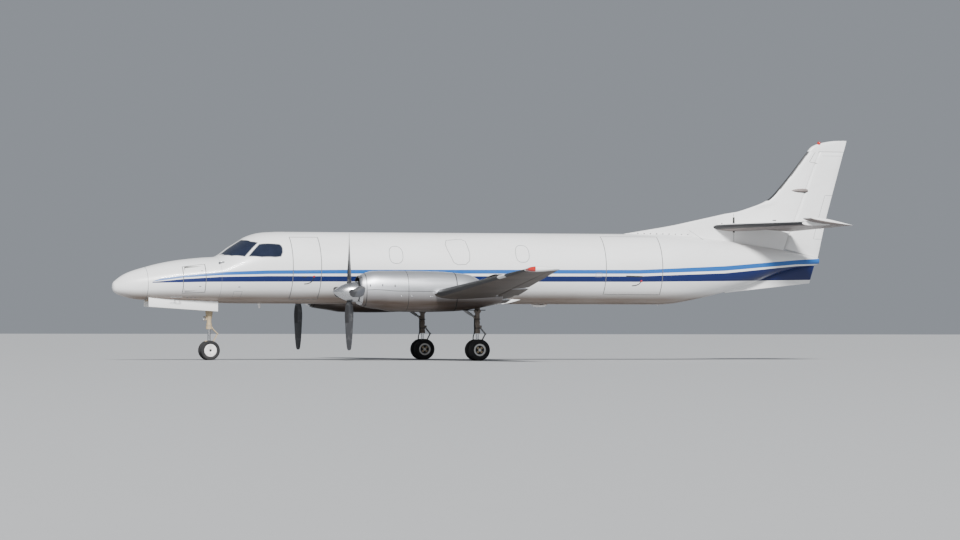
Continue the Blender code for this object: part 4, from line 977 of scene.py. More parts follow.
def flip_outwards(obj):
    """Turn an open hull panel's faces away from the hull's middle."""
    face = obj.data.polygons[len(obj.data.polygons) // 2]
    middle = Vector((face.center.x, 0.0, flow_at(WAIST_LINE, face.center.x + LENGTH / 2)))
    if face.normal.dot(face.center - middle) < 0:
        edit(obj)
        bpy.ops.mesh.flip_normals()
        bpy.ops.object.mode_set(mode="OBJECT")


def door_edges(s0, s1, crown, keel, turn=1):
    """Upper and lower edge of a door."""
    return (((s0, turn * crown), (s1, turn * crown)), ((s0, turn * keel), (s1, turn * keel)))


def ribbon(name, path, width, lift=0.0012):
    """Thin strip along a path of (station, angle) points on the hull."""
    spots = []
    for station, angle in path:
        point = on_hull(station, angle)
        spots.append((point, (point - on_hull(station, angle, 0.05)).normalized()))
    return strip(name, spots, width, lift)


def oval_path(station, z, side):
    """Rounded outline on the hull's side, as (station, angle) points."""
    path = []
    for angle in [2 * math.pi * k / 28 for k in range(29)]:
        along = squared(math.cos(angle), 2.6) * OVAL_HALF_LENGTH
        up = squared(math.sin(angle), 2.6) * OVAL_HALF_HEIGHT
        path.append((station + along, -side * hull_angle(station + along, z + up)))
    return path


def side_path(points, side, steps):
    """Path through (station, height) points of the hull's side, finely divided."""
    return [(s, -side * hull_angle(s, z)) for s, z in even_path(points, steps)]


def mirrored(edges, turn):
    """Edges of a pane on one side of the hull."""
    return [[(s, turn * a) for s, a in edge] for edge in edges]


def build_hull():
    settings = bpy.context.scene.airliner_hull
    angles = hull_angles(settings.around)
    sections = [hull_section(s, angles) for s in hull_stations()]
    hull = skin("fuselage_skin", sections)
    drop_faces(hull, lambda p: in_door(p, AIRSTAIR, PORT) or in_door(p, CARGO_DOOR, PORT)
               or in_door(p, NOSE_HATCH, PORT) or in_door(p, NOSE_HATCH, STARBOARD))
    apply_modifier(hull, "SOLIDIFY", thickness=settings.skin_thickness, offset=-1.0)
    for turn in (1, -1):
        for edges in (WINDSHIELD, SIDE_WINDOW):
            carve(hull, hull_panel("window_cutter", mirrored(edges, turn), -0.03, 0.12, 6, 4))
    carve(hull, block("bay_cutter", at(BAY_START, -BAY_HALF_WIDTH, 1.1),
                      at(BAY_END, BAY_HALF_WIDTH, 1.6), 0.0))
    dress(hull, "livery", replaced=("radome", "nose_section", "cockpit_section",
                                    "forward_fuselage", "mid_fuselage", "rear_fuselage",
                                    "tail_cone"), angle=40.0)
    repaint(hull, "cabin lining", inside_hull)
    return hull


def inside_hull(centre, normal):
    """True for a face of the lining, under the outer skin."""
    station = centre.x + LENGTH / 2
    up = centre.z - flow_at(WAIST_LINE, station)
    width, rise = flow_at(WIDTH_LINE, station), hull_rise(station, up >= 0)
    if width < 0.05 or rise < 0.05:
        return False
    reach = math.hypot(centre.y / width, up / rise)
    return reach < 1.0 - 0.012 / max(min(width, rise), 0.1)


def floor_section(station):
    """Section of the floor and the space beneath it, inside the skin."""
    inset = bpy.context.scene.airliner_hull.skin_thickness + 0.002
    depth = flow_at(WAIST_LINE, station) - FLOOR_Z
    rise = hull_rise(station, False) - inset
    first = 180 - math.degrees(math.acos(min(1.0, depth / rise)))
    return [on_hull(station, a, inset) for a in spread(first, 360 - first, 20)]


def build_interior():
    floor = skin("cabin_floor", [floor_section(s) for s in (2.45, 3.0, 3.6, 8.0, 13.3, 13.5)])
    dress(floor, "cabin lining", angle=20.0)
    rings = [hull_section(s, spread(0.0, 354.0, 59), LINING_INSET)
             for s in (BULKHEAD_FRONT, BULKHEAD_BACK)]
    dress(skin("aft_bulkhead", rings), "cabin lining", angle=20.0)
    s0, s1 = NOSE_HATCH[0] + 0.03, NOSE_HATCH[1] - 0.03
    outline = ((-0.56, 1.62), (-0.24, 1.62), (-0.24, HOLD_FLOOR_Z), (0.24, HOLD_FLOOR_Z),
               (0.24, 1.62), (0.56, 1.62), (0.56, HOLD_TOP_Z), (-0.56, HOLD_TOP_Z))
    hold = skin("nose_hold_liner", [[at(s, y, z) for y, z in outline] for s in (s0, s1)])
    drop_faces(hold, lambda p: abs(p.y) > 0.555)
    apply_modifier(hold, "SOLIDIFY", thickness=0.006, offset=1.0)
    dress(hold, "cabin lining", angle=20.0)
    bay = block("gear_bay_liner", at(BAY_START, -BAY_HALF_WIDTH, 1.36),
                at(BAY_END, BAY_HALF_WIDTH, BAY_TOP_Z), 0.0)
    drop_faces(bay, lambda p: p.z < 1.37)
    apply_modifier(bay, "SOLIDIFY", thickness=0.004, offset=1.0)
    dress(bay, "gear paint", angle=20.0)


def door_ribs(name, door, angles, depth):
    """Frames across a door's inner face."""
    s0, s1 = door[0] + 0.05, door[1] - 0.05
    ribs = []
    for angle in angles:
        half = math.degrees(0.018 / CABIN_HALF_WIDTH)
        ribs.append(hull_panel(name, door_edges(s0, s1, angle - half, angle + half),
                               LINING_INSET, depth, 2, 6))
    return ribs


def build_doors():
    parts = [hull_panel("airstair_panel", door_edges(*AIRSTAIR), 0.0, 0.047, 36, 8)]
    for angle in spread(136.0, 62.0, 3):
        outer, inner = on_hull(4.45, angle, LINING_INSET), on_hull(4.45, angle, 0.25)
        radial = (inner - outer).normalized()
        parts.append(plate("airstair_tread", outer, outer + radial * 0.2, 0.27, 0.028,
                           AFT))
    door = together("airstair_door_skin", parts)
    dress(door, "livery", "airstair_door", ("airstair_door",), 40.0)
    repaint(door, "cabin lining", inside_hull)
    parts = [hull_panel("cargo_panel", door_edges(*CARGO_DOOR), 0.0, 0.047, 36, 12)]
    parts += door_ribs("cargo_rib", CARGO_DOOR, (45.0, 70.0, 95.0, 118.0), 0.03)
    door = together("cargo_door_skin", parts)
    dress(door, "livery", "cargo_door", ("cargo_door",), 40.0)
    repaint(door, "cabin lining", inside_hull)
    for side, word in SIDES:
        hatch = hull_panel("nose_hatch_skin_" + word, door_edges(*NOSE_HATCH, -side), 0.0, 0.028,
                           18, 8)
        dress(hatch, "livery", "nose_hatch_" + word, ("nose_hatch_" + word,), 40.0)
        repaint(hatch, "cabin lining", inside_hull)


def build_cockpit_glass():
    for kind, edges in (("windshield", WINDSHIELD), ("side_window", SIDE_WINDOW)):
        for turn, word in ((1, "left"), (-1, "right")):
            upper, lower = mirrored(edges, turn)
            pane = hull_panel("%s_pane_%s" % (kind, word), (upper, lower), 0.006, 0.008, 8, 6)
            dress(pane, "cockpit glass", replaced=("%s_%s" % (kind, word),))
            rim = even_path(upper + lower[::-1] + upper[:1], 6)
            gasket = ribbon("%s_gasket_%s" % (kind, word), rim, 0.016, 0.002)
            dress(gasket, "sealant", angle=30.0)


def dash(station, z, side, half=0.025):
    """Short dark mark of a latch or hinge on the hull's side."""
    ends = ((station - half, z), (station + half, z))
    return ribbon("dash", side_path(ends, side, 2), 0.018, 0.002)


def door_outline(door, turn):
    """Sealant line on the hull just outside a door's seam."""
    s0, s1, crown, keel = door
    gap = bpy.context.scene.airliner_hull.door_seam + 0.004
    wide = math.degrees(gap / CABIN_HALF_WIDTH)
    crown, keel = crown - wide, keel + wide
    corners = ((s0 - gap, crown), (s1 + gap, crown), (s1 + gap, keel), (s0 - gap, keel),
               (s0 - gap, crown))
    return ribbon("outline", even_path([(s, turn * a) for s, a in corners], 24), 0.008)


def build_panel_lines():
    width = bpy.context.scene.airliner_hull.line_width
    lines = []
    for side in (PORT, STARBOARD):
        lines += [ribbon("line", oval_path(*centre, side), width) for centre in OVAL_CENTRES]
        for outline, steps, share in ((EXIT_LINE, 6, 1.0), (REAR_PANEL, 3, 0.7),
                                      (NOSE_PANEL, 3, 0.5)):
            lines.append(ribbon("line", side_path(outline, side, steps), width * share))
        lines.append(dash(2.86, 1.7, side))
        lines += [dash(s, 1.45, side) for s in (1.7, 1.79, 1.88)]
    for door, sides in ((AIRSTAIR, (1,)), (CARGO_DOOR, (1,)), (NOSE_HATCH, (1, -1))):
        lines += [door_outline(door, turn) for turn in sides]
    lines += [dash(s, 1.415, PORT, 0.012) for s in spread(4.2, 4.72, 4)]
    for station, share in ((0.76, 0.9), (2.44, 0.4)):
        ring = [(station, a) for a in spread(0.0, 360.0, 72)]
        lines.append(ribbon("line", ring, width * share))
    dress(together("hull_seams", lines), "sealant", angle=30.0)


# Wings

def half_thickness(share, ratio):
    """Half thickness of a wing section, against its chord."""
    poly = (0.2969 * math.sqrt(share) - 0.126 * share - 0.3516 * share ** 2
            + 0.2843 * share ** 3 - 0.1015 * share ** 4)
    return 5 * ratio * poly


def camber_line(share):
    """Rise of a wing section's middle line, against its chord."""
    peak = 0.4
    if share < peak:
        return CAMBER / peak ** 2 * (2 * peak * share - share ** 2)
    return CAMBER / (1 - peak) ** 2 * (1 - 2 * peak + 2 * peak * share - share ** 2)


def wing_le(y):
    return WING_ROOT_LE + WING_LE_SLOPE * abs(y)


def wing_te(y):
    return WING_ROOT_TE - WING_TE_SLOPE * abs(y)


def wing_z(y):
    return WING_ROOT_Z + WING_DIHEDRAL * abs(y)


def wing_point(y, share, upper, thin=1.0):
    chord = wing_te(y) - wing_le(y)
    ratio = mix(ROOT_THICKNESS, TIP_THICKNESS, abs(y) / (SPAN / 2)) * thin
    lift = half_thickness(share, ratio) * chord
    z = wing_z(y) + camber_line(share) * chord + (lift if upper else -lift)
    return at(wing_le(y) + share * chord, y, z)


def chord_shares(boot):
    """Shares of the chord, close together at the nose, with one on the boot's edge."""
    count = bpy.context.scene.airliner_wing.chord_points
    shares = [(1 - math.cos(math.pi / 2 * k / count)) ** 1.25 for k in range(count + 1)]
    shares = [s for s in shares if abs(s - boot) > 0.01] + [boot]
    return sorted(shares, reverse=True)


def foil_section(point_at, boot, y, thin=1.0):
    """Section of a wing or tailplane, from its trailing edge round to it again."""
    shares = chord_shares(boot)
    upper = [point_at(y, share, True, thin) for share in shares]
    lower = [point_at(y, share, False, thin) for share in reversed(shares[:-1])]
    return upper + lower


def hinge_point(y, drop=0.0):
    upper, lower = (wing_point(y, HINGE_CHORD, up) for up in (True, False))
    return (upper + lower) / 2 - Vector((0, 0, drop))


def nose_radius(y):
    upper, lower = (wing_point(y, HINGE_CHORD, up) for up in (True, False))
    return (upper - lower).length / 2


def round_nose(centre, radius, across, sweep=0.0):
    """Half circle in front of a hinge, drawn out for a swept one."""
    reach = radius / math.cos(sweep)
    arc = []
    for degrees in spread(88.0, -88.0, 12):
        angle = math.radians(degrees)
        arc.append(centre + Vector((-reach * math.cos(angle), 0, 0))
                   + across * radius * math.sin(angle))
    return arc


def surface_section(y):
    """Section of a flap or aileron: round nose, flat sides, thin trailing edge."""
    shares = (1.0, 0.96, 0.92, 0.88, 0.84, 0.8)
    upper = [wing_point(y, share, True) for share in shares]
    lower = [wing_point(y, share, False) for share in reversed(shares)]
    return upper + round_nose(hinge_point(y), nose_radius(y), UP) + lower


def cove_cutter(y0, y1, flare):
    """Cutter for a surface's bay, its outer end leaning outwards by the flare at the back."""
    corners = []
    for y, lean in ((y0, 0.0), (y1, flare)):
        front = hinge_point(y).x - nose_radius(y) - SURFACE_CLEARANCE
        back = at(wing_te(y), 0, 0).x + 0.2
        low, high = wing_z(y) - 0.5, wing_z(y) + 0.5
        corners.append([Vector((front, y, low)), Vector((back, y + lean, low)),
                        Vector((back, y + lean, high)), Vector((front, y, high))])
    return skin("cove_cutter", corners)


def wing_spans():
    """Each section's distance from the middle, and its thickness against the wing's own."""
    half = SPAN / 2
    spans = sorted(spread(0.35, 8.45, 16) + list(BOOT_BREAK))
    spans += [half - 0.16, half - 0.09, half - 0.045, half - 0.02, half - 0.006, half]
    thin = {half: 0.3, half - 0.006: 0.8, half - 0.02: 1.15, half - 0.045: 1.35,
            half - 0.09: 1.4, half - 0.16: 1.25}
    return [(y, thin.get(y, 1.0)) for y in spans]


def in_boot(centre, boot, limits):
    """True on the leading edge, over the given stretches of the half-span."""
    y = abs(centre.y)
    share = (centre.x + LENGTH / 2 - wing_le(y)) / (wing_te(y) - wing_le(y))
    return share < boot and any(low < y < high for low, high in limits)


def wing_surface(kind, span, side, word):
    """Flap or aileron on one side."""
    y0, y1 = side * span[0], side * span[1]
    sections = [surface_section(y) for y in spread(y0, y1, 6)]
    piece = skin("%s_skin_%s" % (kind, word), sections)
    if kind != "aileron":
        hinge = hinge_point((y0 + y1) / 2, FLAP_HINGE_DROP)
        axis = (hinge_point(y1) - hinge_point(y0)) * side
        turn_about(piece, hinge, axis, FLAP_DROOP)
    name = "%s_%s" % (kind, word)
    dress(piece, "metal skin", name, (name,), 30.0)
    # Painted shade: the downward faces take the dark underside metal.
    repaint(piece, "soiled metal", faces_down)


def build_wings():
    boot = bpy.context.scene.airliner_wing.boot_share
    for side, word in SIDES:
        sections = [foil_section(wing_point, boot, side * y, thin) for y, thin in wing_spans()]
        wing = skin("wing_skin_" + word, sections)
        for span in (FLAP_INNER, FLAP_OUTER, AILERON):
            cove_end = AILERON[0] if span == FLAP_OUTER else span[1] + END_CLEARANCE
            flare = 0.0 if span == AILERON else FLAP_END_FLARE
            carve(wing, cove_cutter(side * (span[0] - END_CLEARANCE), side * cove_end,
                                    side * flare))
        dress(wing, "metal skin", replaced=("wing_" + word,), angle=30.0)
        # Painted shade: the downward faces take the dark underside metal.
        repaint(wing, "soiled metal", faces_down)
        repaint(wing, "boot rubber", lambda c, n: in_boot(c, boot, BOOT_SPANS))
        repaint(wing, "white paint", lambda c, n: abs(c.y) > WHITE_TIP_START
                or in_boot(c, boot, (BOOT_BREAK,)))
        low, high = (at(*spot) for spot in zip(
            LENS_STATIONS, sorted(side * y for y in LENS_SPAN), LENS_HEIGHTS))
        lens = skin("tip_lamp_" + word, sections)
        carve(lens, block("lens_box", low, high, 0.0), "INTERSECT")
        dress(lens, "lamp red" if side == PORT else "lamp green", angle=30.0)
        carve(wing, block("lens_box", low, high, 0.0))
        for kind, span in (("flap_inner", FLAP_INNER), ("flap_outer", FLAP_OUTER),
                           ("aileron", AILERON)):
            wing_surface(kind, span, side, word)


# Tail

def fin_outline():
    """Leading edge of the fin by height: straight dorsal, then a smooth curve to the tip."""
    dorsal, curve = FIN_PROFILE[1:6], FIN_PROFILE[5:]
    stations = spread(dorsal[0][0], DORSAL_END, 40) + spread(DORSAL_END + 0.01, LENGTH, 120)
    heights = [flow_at(dorsal if s <= DORSAL_END else curve, s) for s in stations]
    return list(zip(heights, stations))


FIN_OUTLINE = fin_outline()


def rise_line(line):
    """The same line read the other way: value as a function of height."""
    return [(height, station) for station, height in line]


def fin_le(z):
    return line_at(FIN_OUTLINE, z)


def fin_te(z):
    return line_at(rise_line(FIN_TE), z)


def rudder_hinge_x(z):
    (s0, z0), (s1, z1) = RUDDER_HINGE
    return s0 + (s1 - s0) * (z - z0) / (z1 - z0)


def rudder_sweep():
    (s0, z0), (s1, z1) = RUDDER_HINGE
    return math.atan2(s1 - s0, z1 - z0)


def rudder_radius(z):
    return line_at(FIN_HALF_THICKNESS, z) * 0.93


def fin_halves(z):
    """Half thickness along the fin at a height, as (station, half) points."""
    front = fin_le(z)
    main = max(front, MAIN_FIN_FOOT + MAIN_FIN_SLOPE * (z - 2.98))
    full = line_at(FIN_HALF_THICKNESS, z)
    chord = fin_te(z) - main
    ridge = min(0.035 + 0.02 * (main - front), full * 0.55)
    halves = [(front, 0.0), (front + 0.004, 0.012)]
    if main - front > 0.3:
        halves += [(front + 0.1, ridge * 0.7), (main, ridge)]
    else:
        halves += [(front + 0.03, full * 0.45), (front + 0.08, full * 0.62)]
    halves += [(main + 0.15 * chord, full * 0.85), (main + 0.35 * chord, full)]
    back = rudder_hinge_x(z) - rudder_radius(z) / math.cos(rudder_sweep()) - RUDDER_GAP
    return halves + [(back, full * 0.93)]


def cap_halves(z):
    """Half thickness along the fin's cap, over the rudder."""
    full = flow_at(CAP_HALF_THICKNESS, z)
    front, back = fin_le(z), fin_te(z)
    return [(front, 0.0), (front + 0.02, full * 0.4), (front + 0.08, full * 0.8),
            (mix(front, back, 0.4), full), (back, full * 0.2)]


def upright_section(z, halves, count=26):
    """Horizontal section through a fin, from its front round to its front again."""
    front, back = halves[0][0], halves[-1][0]
    stations = [mix(front, back, (k / count) ** 1.8) for k in range(count + 1)]
    port = [at(s, -flow_at(halves, s), z) for s in stations]
    starboard = [at(s, flow_at(halves, s), z) for s in reversed(stations[1:])]
    return port + starboard


def rudder_spot(z, share):
    """Station and half thickness of the rudder at a share of its chord."""
    return (mix(rudder_hinge_x(z), fin_te(z), share),
            mix(rudder_radius(z), 0.004, share ** 1.15))


def rudder_section(z):
    nose = round_nose(at(rudder_hinge_x(z), 0.0, z), rudder_radius(z), Vector((0, -1, 0)),
                      rudder_sweep())
    spots = [rudder_spot(z, share) for share in (0.15, 0.3, 0.5, 0.75, 1.0)]
    return (nose + [at(s, half, z) for s, half in spots]
            + [at(s, -half, z) for s, half in reversed(spots)])


def rudder_foot():
    """Lowest section, sloping down towards the trailing edge just over the tail cone."""
    hinge = at(rudder_hinge_x(RUDDER_FOOT_Z), 0.0, 0.0).x
    chord = fin_te(RUDDER_FOOT_Z) - rudder_hinge_x(RUDDER_FOOT_Z)
    section = []
    for point in rudder_section(RUDDER_FOOT_Z):
        behind = point.x - hinge
        z = RUDDER_FOOT_Z - RUDDER_FOOT_SLOPE * behind
        if behind > 0:
            behind *= (fin_te(z) - rudder_hinge_x(z)) / chord
        section.append(at(rudder_hinge_x(z) + behind, point.y, z))
    return section


def rudder_strip(points, side, width=0.008):
    """Strip on the rudder through (share of chord, height) points."""
    spots = []
    for share, z in points:
        s, half = rudder_spot(z, share)
        spots.append((at(s, side * half, z), Vector((0, side, 0))))
    return strip("rudder_line", spots, width)


def fin_strip(points, side, width=0.008):
    spots = [(at(s, side * flow_at(fin_halves(z), s), z), Vector((0, side, 0)))
             for s, z in points]
    return strip("fin_line", spots, width)


def wick(start):
    """Static wick: a thin grey rod trailing from an edge."""
    return rod("static_wick", start - Vector((0.01, 0, 0)), start + Vector((0.08, 0, 0)),
               0.003, 8, 0.001)


def build_fin():
    fin = skin("fin_skin", [upright_section(z, fin_halves(z)) for z in
                            spread(2.62, RUDDER_TOP_Z, 44)])
    cap = skin("fin_cap", [upright_section(z, cap_halves(z)) for z in
                           (RUDDER_TOP_Z - 0.002, 5.04, 5.08, 5.11, 5.14, 5.17, 5.2, 5.225,
                            5.245, 5.26, 5.268)])
    fin = together("fin_skin", [fin, cap])
    dress(fin, "white paint", replaced=("fin",), angle=30.0)
    repaint(fin, "boot rubber", lambda c, n: FIN_BOOT_HEIGHTS[0] < c.z < FIN_BOOT_HEIGHTS[1]
            and c.x + LENGTH / 2 < fin_le(c.z) + FIN_BOOT)
    lines = []
    for side in (PORT, STARBOARD):
        lines.append(fin_strip(even_path(((15.21, 2.83), (15.21, 3.5)), 12), side))
        lines.append(fin_strip(even_path(((17.28, 4.99), (17.13, 4.75), (17.33, 4.72)), 6), side))
        for z, half in ((3.33, 0.08), (3.09, 0.045)):
            lines.append(fin_strip(((15.21, z - half), (15.21, z), (15.21, z + half)), side,
                                   0.05))
        lines.append(fin_strip(((14.91, 3.2), (14.91, 3.23), (14.91, 3.27)), side, 0.03))
        lines += [fin_strip(((s - 0.013, z), (s, z), (s + 0.013, z)), side, 0.022)
                  for s, z in zip(spread(12.8, 14.05, 8), spread(3.012, 2.99, 8))]
        lines += [fin_strip(((16.18, z), (16.22, z), (16.27, z)), side, 0.022)
                  for z in (3.34, 3.15)]
    dress(together("fin_lines", lines), "dark recess")
    scoops = [scoop(side) for side in (PORT, STARBOARD)]
    scoops = together("fin_scoops", scoops)
    # Painted shade: the scoops take the dark underside paint, and their lower faces a near-black
    # painted shade.
    dress(scoops, "soiled paint")
    repaint(scoops, "dark recess", lambda c, n: n.z < -0.45)
    beacon = turned("beacon", ((-0.03, 0.03), (0.0, 0.045), (0.03, 0.045), (0.055, 0.036),
                               (0.068, 0.018), (0.072, 0.0)), at(17.39, 0.0, 5.175),
                    UP, 24)
    dress(beacon, "lamp red")


def scoop(side):
    """Half-round bulge of an air scoop on the fin's side."""
    sections = []
    for s, grow in ((16.65, 0.05), (16.72, 0.5), (16.82, 0.85), (16.95, 1.0), (17.03, 0.9),
                    (17.08, 0.6)):
        z = 4.06
        foot = side * flow_at(fin_halves(z), min(s, 16.95)) * 0.9
        sections.append([at(s, foot + side * 0.05 * grow * math.sin(a), z
                            - 0.05 * grow * math.cos(a)) for a in spread(0.0, math.pi, 12)])
    return skin("fin_scoop", sections)


def build_rudder():
    heights = spread(RUDDER_FOOT_Z, RUDDER_TOP_Z - RUDDER_GAP, 14)[1:]
    rudder = skin("rudder_skin", [rudder_foot()] + [rudder_section(z) for z in heights])
    apply_modifier(rudder, "BEVEL", width=0.004, segments=2, limit_method="ANGLE",
                   angle_limit=math.radians(60))
    dress(rudder, "white paint", "rudder", ("rudder",))
    lines = []
    for side in (PORT, STARBOARD):
        tab = even_path(((0.995, 2.9), (0.72, 2.9), (0.72, 3.95), (0.995, 3.95)), 4)
        lines.append(rudder_strip(tab, side))
        lines.append(rudder_strip(even_path(((0.1, 4.9), (0.97, 4.9)), 4), side, 0.005))
    lines += [wick(at(fin_te(z), 0.0, z)) for z in (3.2, 3.7, 4.2)]
    dress(together("rudder_lines", lines), "sealant", "rudder")


def tailplane_le(y):
    return mix(*TAILPLANE_LE, abs(y) / TAILPLANE_HALF_SPAN)


def tailplane_te(y):
    return mix(*TAILPLANE_TE, abs(y) / TAILPLANE_HALF_SPAN)


def tailplane_point(y, share, upper, thin=1.0):
    chord = tailplane_te(y) - tailplane_le(y)
    lift = half_thickness(share, TAILPLANE_THICKNESS * thin) * chord
    z = mix(*TAILPLANE_Z, abs(y) / TAILPLANE_HALF_SPAN)
    return at(tailplane_le(y) + share * chord, y, z + (lift if upper else -lift))


def tailplane_section(y, thin=1.0):
    return foil_section(tailplane_point, TAILPLANE_BOOT, y, thin)


def elevator_hinge(y):
    upper, lower = (tailplane_point(y, ELEVATOR_CHORD, up) for up in (True, False))
    return (upper + lower) / 2, (upper - lower).length / 2


def elevator_section(y):
    centre, radius = elevator_hinge(y)
    tip = elevator_hinge(TAILPLANE_HALF_SPAN)[0]
    sweep = math.atan2(tip.x - elevator_hinge(0.0)[0].x, TAILPLANE_HALF_SPAN)
    shares = (1.0, 0.92, 0.85, 0.78, 0.71)
    upper = [tailplane_point(y, share, True) for share in shares]
    lower = [tailplane_point(y, share, False) for share in reversed(shares)]
    return upper + round_nose(centre, radius, UP, sweep) + lower


def build_tailplane(side, word):
    half = TAILPLANE_HALF_SPAN
    inner, horn_start = 0.16, half - HORN_SPAN
    plane = skin("tailplane_skin_" + word, [tailplane_section(side * y) for y in
                                            [0.02] + spread(0.1, horn_start - 0.014, 8)])
    corners = []
    for y in (inner - END_CLEARANCE, horn_start + 0.1):
        centre, radius = elevator_hinge(side * y)
        front = centre.x - radius * 1.08 - SURFACE_CLEARANCE
        back = at(tailplane_te(y), 0, 0).x + 0.2
        corners.append([Vector((front, side * y, 2.8)), Vector((back, side * y, 2.8)),
                        Vector((back, side * y, 3.6)), Vector((front, side * y, 3.6))])
    carve(plane, skin("elevator_cove", corners))
    dress(plane, "white paint", replaced=("tailplane_" + word,))
    # Painted shade: the downward faces take the dark underside paint.
    repaint(plane, "soiled paint", faces_down)
    repaint(plane, "boot rubber", lambda c, n: abs(c.y) < horn_start - 0.03
            and c.x + LENGTH / 2 < mix(tailplane_le(c.y), tailplane_te(c.y), TAILPLANE_BOOT))
    elevator = skin("elevator_part", [elevator_section(side * y) for y in
                                      spread(inner, horn_start + 0.03, 8)])
    horn = skin("elevator_horn", [tailplane_section(side * y, thin) for y, thin in
                                  ((horn_start, 1.0), (half - 0.05, 1.0), (half - 0.02, 0.85),
                                   (half - 0.006, 0.6), (half, 0.3))])
    wicks = [wick(at(tailplane_te(y), side * y, mix(*TAILPLANE_Z, y / half)))
             for y in (1.2, 1.75, 2.25)]
    root, tip = elevator_hinge(side * inner)[0], elevator_hinge(side * half)[0]
    tab = []
    for upper in (True, False):
        out = Vector((0, 0, 1 if upper else -1))
        path = even_path(((0.995, 0.75), (0.84, 0.75), (0.84, 1.7), (0.995, 1.7)), 4)
        tab.append(strip("tab_line", [(tailplane_point(side * y, share, upper), out)
                                      for share, y in path], 0.006))
    elevator = together("elevator_skin_" + word, [elevator, horn])
    details = together("elevator_lines_" + word, wicks + tab)
    for piece in (elevator, details):
        turn_about(piece, (root + tip) / 2, (tip - root) * side, ELEVATOR_DROOP)
    dress(elevator, "white paint", "elevator_" + word, ("elevator_" + word,))
    # Painted shade: the downward faces take the dark underside paint.
    repaint(elevator, "soiled paint", faces_down)
    dress(details, "sealant", "elevator_" + word)


def build_ventral_fin():
    half = 0.025
    plate_piece = skin("ventral_fin_skin", [[at(s, y, z) for s, z in VENTRAL_PROFILE]
                                            for y in (-half, half)])
    apply_modifier(plate_piece, "BEVEL", width=0.01, segments=3, limit_method="ANGLE",
                   angle_limit=math.radians(60))
    dress(plate_piece, "livery", replaced=("ventral_fin",))


# Power plants

def cowl_section(station, y, inset=0.0):
    """Rounded section of the nacelle, inset from its skin."""
    top = flow_at(COWL_TOP, station) - inset
    bottom = flow_at(COWL_BOTTOM, station) + inset
    width = flow_at(COWL_WIDTH, station) - inset
    middle, rise = (top + bottom) / 2, (top - bottom) / 2
    ring = []
    for angle in [2 * math.pi * k / COWL_POINTS for k in range(COWL_POINTS)]:
        across, up = (squared(turn(angle), COWL_SQUARENESS) for turn in (math.sin, math.cos))
        ring.append(at(station, y - width * across, middle + rise * up))
    return ring


def cowl_band(station, y, width):
    """Thin raised ring round the cowling."""
    half, lift, depth = width / 2, 0.0015, -0.004
    rings = [cowl_section(station + shift, y, -rise) for shift, rise in
             ((-half, depth), (-half, lift), (half, lift), (half, depth))]
    sections = [[ring[k] for ring in rings] for k in range(len(rings[0]))]
    sections.append(sections[0])
    return skin("cowl_band", sections)


def cowl_strip(y, stations, column, width):
    """Strip along the cowling at one of the points of its sections."""
    spots = []
    for s in stations:
        ring = cowl_section(s, y)
        point = ring[column]
        middle = at(s, y, (ring[0].z + ring[COWL_POINTS // 2].z) / 2)
        spots.append((point, (point - middle).normalized()))
    return strip("cowl_strip", spots, width)


def latch(station, y, column, half):
    """Small block on one of the points of a cowling section."""
    point = cowl_section(station, y)[column]
    return block("latch", point - half, point + half, 0.003)


def intake_cutter(y):
    """Crescent over the spinner, between it and the cowling's lip."""
    centre = at(COWL_START, y, THRUST_Z)
    rim = cowl_section(COWL_START, y, INTAKE_LIP)
    sections = []
    for column in range(-14, 15):
        outer = rim[column] - centre
        inner = outer.normalized() * INTAKE_RADIUS
        sections.append([centre + spot + Vector((shift, 0, 0)) for spot, shift in
                         ((inner, -0.1), (outer, -0.1), (outer, 0.17), (inner, 0.17))])
    return skin("intake_cutter", sections)


def in_intake(point, y):
    """True for the faces that the intake's cutter left behind."""
    offset = Vector((point.y - y, point.z - THRUST_Z))
    width = COWL_WIDTH[0][1] - INTAKE_LIP
    top = COWL_TOP[0][1] - THRUST_Z - INTAKE_LIP
    return math.hypot(offset.x / width, offset.y / top) < 1.12 and offset.length > 0.24


